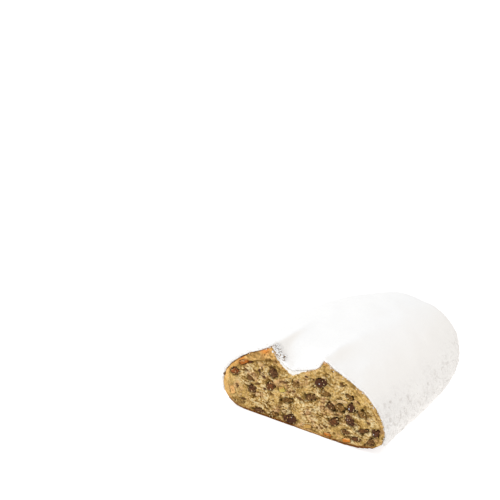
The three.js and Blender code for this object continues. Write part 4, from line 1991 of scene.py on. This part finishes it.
@dataclass
class Scatter:
    """Many small bits of one kind, joined into one piece."""

    name: str
    level: int                      # how often the ball of each bit is divided
    roughness: float                # how uneven each bit is, as a share of its radius
    seed: int
    reads: tuple[str, ...]          # the attributes that each bit's finish values go to

    def build(self, lumps: list[Lump]) -> bpy.types.Object:
        """Models all bits.

        Args:
            lumps: Where they lie.

        Returns:
            The piece.
        """
        ball = new_ball(self.name, self.level)
        shape = read_vectors(ball)
        faces = np.array([tuple(face.vertices) for face in ball.data.polygons])
        noise = Noise(self.seed)
        corners = []
        triangles = []
        for index, lump in enumerate(lumps):
            body = 1 + self.roughness * noise.at(shape + 3.7 * index, 0.8)
            bit = turn_about_y(shape * body[:, None] * lump.half, lump.lean) + lump.centre
            corners.append(bit)
            triangles.append(faces + index * len(shape))
        old = ball.data
        ball.data = bpy.data.meshes.new(self.name)
        ball.data.from_pydata(np.vstack(corners).tolist(), [], np.vstack(triangles).tolist())
        ball.data.update()
        bpy.data.meshes.remove(old)
        ball.data.name = self.name
        for column, name in enumerate(self.reads):
            values = [lump.finish[column] for lump in lumps]
            keep_values(ball, **{name: np.repeat(values, len(shape))})
        smooth_shading(ball)
        return ball


@dataclass
class FruitScraps:
    """The small bits of raisin between the larger pieces."""

    half_depth: float = 0.75 * MM
    # crest gives the skin's share on the scraps; the rest is the wrinkles' painted shade
    crest: float = 0.75             # how far the finish shows skin
    flesh: float = 0.3              # and how far flesh
    seed: int = 71

    def build(self, material: bpy.types.Material) -> None:
        """Models the scraps and hands them over.

        Args:
            material: The finish of a raisin.
        """
        lumps = []
        for scrap in SCRAPS:
            bed = scrap.bed
            half = (bed.half.x, self.half_depth, bed.half.z)
            finish = (self.crest, self.flesh, *scrap.look.value)
            lumps.append(Lump(tuple(bed.centre), half, bed.lean, finish))
        reads = ("crest", "flesh", "brown", "amber")
        piece = Scatter("raisin_scraps", 4, 0.5, self.seed, reads).build(lumps)
        hand_over(piece, material)


@dataclass
class Crumbs:
    """Bits of crumb and crust that stick to the cut face, round the fruit and at the left lip."""

    loaf: bpy.types.Object          # the finished loaf that they lie on
    fruit: list[Fruit]
    on_face: int = 420
    on_raisin: int = 7              # on each raisin
    on_dice: int = 3                # on each dice of peel or almond
    at_lip: int = 45
    lip: BrokenLip = BrokenLip((-20.5 * MM, 53 * MM), (8 * MM, -7 * MM), (1.2, 1.0))
    seed: int = 67
    draw: np.random.Generator = field(init=False)

    def __post_init__(self) -> None:
        """Starts the source of chance."""
        self.draw = np.random.default_rng(self.seed)

    def build(self, material: bpy.types.Material) -> None:
        """Models the crumbs and hands them over.

        Args:
            material: The finish of the crumb.
        """
        lumps = self.over_face()
        for one in self.fruit:
            count = self.on_raisin if one.kind is Slot.RAISIN else self.on_dice
            lumps += [self.over_fruit(one.bed) for _ in range(count)]
        lumps += [self.at_broken_lip() for _ in range(self.at_lip)]
        reads = ("tone", "crust", "ember", "dust")
        piece = Scatter("crumbs", 1, 0.5, self.seed, reads).build(lumps)
        hand_over(piece, material)

    def crumb(self, centre: Place, half: float) -> Lump:
        """Makes one crumb of a random tone.

        Args:
            centre: Where it lies.
            half: Its half width.

        Returns:
            The crumb.
        """
        flat = self.draw.uniform(0.5, 1)
        tone = self.draw.uniform(0.35, 1.0)
        return Lump.leaning(self.draw, centre, half, (1, 0.6, flat), (tone, 0, 0, 0))

    def over_face(self) -> list[Lump]:
        """Places crumbs all over the cut face.

        Returns:
            The crumbs.
        """
        points = read_vectors(self.loaf)
        outward = read_vectors(self.loaf, "normal")
        front = np.flatnonzero((outward[:, 1] < -0.6) & (points[:, 1] < CUT + 0.8 * MM))
        lumps = []
        for index in self.draw.choice(front, self.on_face):
            half = self.draw.uniform(0.22, 0.3 + 0.4 * self.draw.random() ** 2) * MM
            lumps.append(self.crumb(tuple(points[index]), half))
        return lumps

    def over_fruit(self, bed: Bed) -> Lump:
        """Places a crumb on a piece of fruit, more likely towards its edge.

        Args:
            bed: Where the piece lies.

        Returns:
            The crumb.
        """
        angle = self.draw.uniform(0, 2 * math.pi)
        reach = math.sqrt(self.draw.uniform(0.1, 1.1))
        deep = bed.half.y * math.sqrt(max(1 - reach**2, 0))
        along = bed.half.x * reach * math.cos(angle)
        upward = bed.half.z * reach * math.sin(angle)
        flat = turn_about_y(np.array([[along, 0, upward]]), bed.lean)[0]
        front = min(bed.centre.y - deep, CUT + 0.1 * MM)
        centre = (bed.centre.x + flat[0], front, bed.centre.z + flat[2])
        return self.crumb(centre, self.draw.uniform(0.2, 0.6) * MM)

    def at_broken_lip(self) -> Lump:
        """Places a flake of crust on the slit's left wall, where the cut has broken the coat.

        Returns:
            The flake.
        """
        share = self.draw.uniform(0, 1)
        across, height = self.lip.beside(share, self.draw)
        behind = 6 * MM * self.draw.random() ** 1.7 * (1 - 0.6 * share)
        half = self.draw.uniform(0.2, 0.6) * MM
        finish = (self.draw.uniform(0.0, 0.45), 0, 0, 0)
        return Lump.leaning(self.draw, (across, CUT + behind, height), half, (1, 1, 0.6), finish)


@dataclass
class LooseSugar:
    """Grains and clumps of sugar on the coat, along its broken edge and on the crust."""

    coat: bpy.types.Object          # the finished coat that they lie on
    fruit: list[Fruit]
    on_flank: int = 900
    on_edge: int = 110
    at_lip: int = 150
    lip: BrokenLip = BrokenLip((-20 * MM, 53 * MM), (9 * MM, -8 * MM), (1.3, 0.8))
    inward_to: Span = (MIDDLE, 20 * MM)         # the middle of the cut face, across and above
    seed: int = 53
    draw: np.random.Generator = field(init=False)

    def __post_init__(self) -> None:
        """Starts the source of chance."""
        self.draw = np.random.default_rng(self.seed)

    def build(self, material: bpy.types.Material) -> None:
        """Models the grains and hands them over.

        Args:
            material: Their material.
        """
        points = read_vectors(self.coat)
        lumps = self.on_coat(points) + self.along_cut(points)
        lumps += [self.at_broken_lip() for _ in range(self.at_lip)]
        # Each dark raisin gets one bright grain, a speck of sugar that also stands in for a glint.
        for one in self.fruit:
            if one.kind is Slot.RAISIN and look_of(one.number) is RaisinLook.DARK:
                lumps.append(self.on_raisin(one.bed))
        # Each grain's finish gives its roughness, which paints grey shade, its pit colour and its
        # painted bounce tint.
        reads = ("rough", "pit", "warm")
        piece = Scatter("loose_sugar", 1, 0.35, self.seed, reads).build(lumps)
        hand_over(piece, material)

    def on_coat(self, points: Points) -> list[Lump]:
        """Places clumps on the steep flanks.

        Args:
            points: The coat's points.

        Returns:
            The clumps.
        """
        outward = read_vectors(self.coat, "normal")
        steep = smooth_step(outward[:, 2], 0.75, 0.2) * (outward[:, 2] > -0.2)
        steep *= smooth_step(points[:, 2], 38 * MM, 15 * MM)
        lumps = []
        for index in self.draw.choice(len(points), self.on_flank, p=steep / steep.sum()):
            half = self.draw.uniform(0.3, 0.35 + 0.6 * self.draw.random() ** 3) * MM
            centre = tuple(points[index] + outward[index] * 0.1 * MM)
            finish = (self.draw.uniform(0.2, 1), 0, 0.7)
            lumps.append(Lump.leaning(self.draw, centre, half, (1, 0.9, 0.8), finish))
        return lumps

    def along_cut(self, points: Points) -> list[Lump]:
        """Places grains along the coat's broken edge, most of all on the right flank.

        Args:
            points: The coat's points.

        Returns:
            The grains.
        """
        edge = np.flatnonzero((points[:, 1] < CUT + 1.2 * MM) & (points[:, 2] > 10 * MM))
        beside = points[edge, 0] - MIDDLE
        weight = 1 + 2 * (beside > 18 * MM) + 3 * (np.abs(beside + 32 * MM) < 10 * MM)
        lumps = []
        for index in self.draw.choice(edge, self.on_edge, p=weight / weight.sum()):
            half = self.draw.uniform(0.2, 0.4) * MM
            across, _, height = points[index]
            inward = self.draw.uniform(-0.4, 1.5) * MM
            towards = np.array(self.inward_to) - (across, height)
            towards = towards / np.linalg.norm(towards) * inward
            front = CUT - self.draw.uniform(0, 0.4) * MM
            centre = (across + towards[0], front, height + towards[1])
            lumps.append(Lump.leaning(self.draw, centre, half, (1, 1, 1), (0.9, 0.3, 1)))
        return lumps

    def at_broken_lip(self) -> Lump:
        """Places a grain on the slit's left wall, where the cut has broken the coat.

        Returns:
            The grain.
        """
        share = self.draw.uniform(-0.1, 0.75)
        across, height = self.lip.beside(share, self.draw)
        half = self.draw.uniform(0.3, 0.5 + 0.8 * self.draw.random() ** 2) * MM
        behind = 7 * MM * self.draw.random() ** 1.8 * (1 - 0.6 * max(share, 0)) - 0.2 * MM
        centre = (across, CUT + behind, height)
        finish = (self.draw.uniform(0.1, 0.7), 0.25 * self.draw.random() ** 2, 0)
        return Lump.leaning(self.draw, centre, half, (1, 0.8, 0.8), finish)

    def on_raisin(self, bed: Bed) -> Lump:
        """Places a bright grain of sugar on a raisin, which also stands in for a painted glint.

        Args:
            bed: Where the raisin lies.

        Returns:
            The grain.
        """
        half = self.draw.uniform(0.25, 0.5) * MM
        across = bed.centre.x + self.draw.uniform(-0.6, 0.6) * bed.half.x
        height = bed.centre.z + self.draw.uniform(-0.5, 0.6) * bed.half.z
        centre = (across, CUT - 0.25 * MM, height)
        return Lump.leaning(self.draw, centre, half, (1, 1, 0.6), (0.2, 0, 0))


# ---------------------------------------------------------------- studio


@dataclass
class Studio:
    """Pale floor, soft light and the camera."""

    floor_half: float = 4.0
    camera_from_cut: Place = (0.3953, -0.5875, 0.4000)
    look: Place = (-0.5544, 0.7492, -0.3624)
    lens: float = 89.1
    sky_low: float = 0.82           # brightness of the surroundings at the horizon
    sky_high: float = 0.98          # and overhead
    key_place: Place = (-0.7, -0.7, 1.1)
    key_side: float = 0.4
    key_power: float = 3.8
    floor_shade: float = 0.5        # how much of the light that falls on it the floor gives back
    floor_glow: float = 0.75

    def build(self) -> None:
        """Makes the floor, the lights and the camera."""
        self.make_floor()
        self.make_sky()
        self.make_lamp()
        self.make_camera()
        bpy.context.scene.view_settings.view_transform = "Standard"

    def make_floor(self) -> None:
        """Makes the floor."""
        bpy.ops.object.select_all(action="DESELECT")
        bpy.ops.mesh.primitive_plane_add(size=2 * self.floor_half)
        floor = bpy.context.active_object
        floor.name = "floor"
        material, graph, shader = new_material("pale_floor")
        grey = (*[self.floor_shade] * 3, 1)
        graph.feed(shader, {"Base Color": grey, "Roughness": 1.0, "Specular IOR Level": 0.0})
        graph.feed(shader, {"Emission Color": WHITE, "Emission Strength": self.floor_glow})
        floor.data.materials.append(material)

    def make_sky(self) -> None:
        """Makes the white surroundings, brighter overhead."""
        world = bpy.data.worlds.new("studio")
        world.use_nodes = True
        graph = Graph(world.node_tree)
        direction = graph.node("TexCoord").outputs["Generated"]
        upward = graph.node("SeparateXYZ", {0: direction}).outputs["Z"]
        strength = graph.stretch(upward, 0, 1, self.sky_low, self.sky_high)
        background = world.node_tree.nodes["Background"]
        graph.feed(background, {"Color": WHITE, "Strength": strength})
        bpy.context.scene.world = world

    def make_lamp(self) -> None:
        """Makes a large soft lamp that looks at the stollen."""
        light = bpy.data.lights.new("key", "AREA")
        light.size = self.key_side
        light.energy = self.key_power
        place = Vector(self.key_place)
        self.aim(bpy.data.objects.new("key", light), place, -place)

    def make_camera(self) -> None:
        """Makes the camera and looks through it."""
        camera = bpy.data.objects.new("camera", bpy.data.cameras.new("camera"))
        camera.data.lens = self.lens
        camera.data.clip_end = 50
        place = Vector((MIDDLE, CUT, 0)) + Vector(self.camera_from_cut)
        self.aim(camera, place, Vector(self.look))
        bpy.context.scene.camera = camera

    @staticmethod
    def aim(thing: bpy.types.Object, place: Vector, look: Vector) -> None:
        """Puts a lamp or the camera in its place and turns it.

        Args:
            thing: The lamp or the camera.
            place: Where it is.
            look: The direction that it faces.
        """
        thing.location = place
        thing.rotation_mode = "QUATERNION"
        thing.rotation_quaternion = look.to_track_quat("-Z", "Y")
        bpy.context.scene.collection.objects.link(thing)


# ---------------------------------------------------------------- the whole


def all_fruit() -> list[Fruit]:
    """Finds every piece of fruit among the CAD solids.

    Returns:
        The pieces, kind by kind.
    """
    return [
        Fruit(kind, int(node.rsplit("_", 1)[1]))
        for kind in FRUIT_KINDS
        for node in sorted(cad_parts)
        if node.rsplit("_", 1)[0] == kind.value
    ]


def main() -> None:
    """Builds the stollen and its surroundings."""
    logging.basicConfig(level=logging.INFO, format="%(name)s: %(message)s")
    effects = Effects()
    skin = Skin()
    fruit = all_fruit()
    sugar = SugarFinish().make(effects)
    crumb = CrumbFinish().make(effects)
    loaf = Loaf(skin, fruit).build(crumb)
    coat = SugarCoat(skin).build(sugar)
    materials = {
        Slot.RAISIN: RaisinFinish().make(effects),
        Slot.ORANGE_PEEL: ORANGE.make(effects),
        Slot.LEMON_PEEL: LEMON.make(effects),
        Slot.ALMOND: ALMOND.make(effects),
    }
    for one in fruit:
        one.build(materials[one.kind])
    FruitScraps().build(materials[Slot.RAISIN])
    Crumbs(loaf, fruit).build(crumb)
    LooseSugar(coat, fruit).build(sugar)
    Studio().build()


if __name__ == "__main__":
    main()
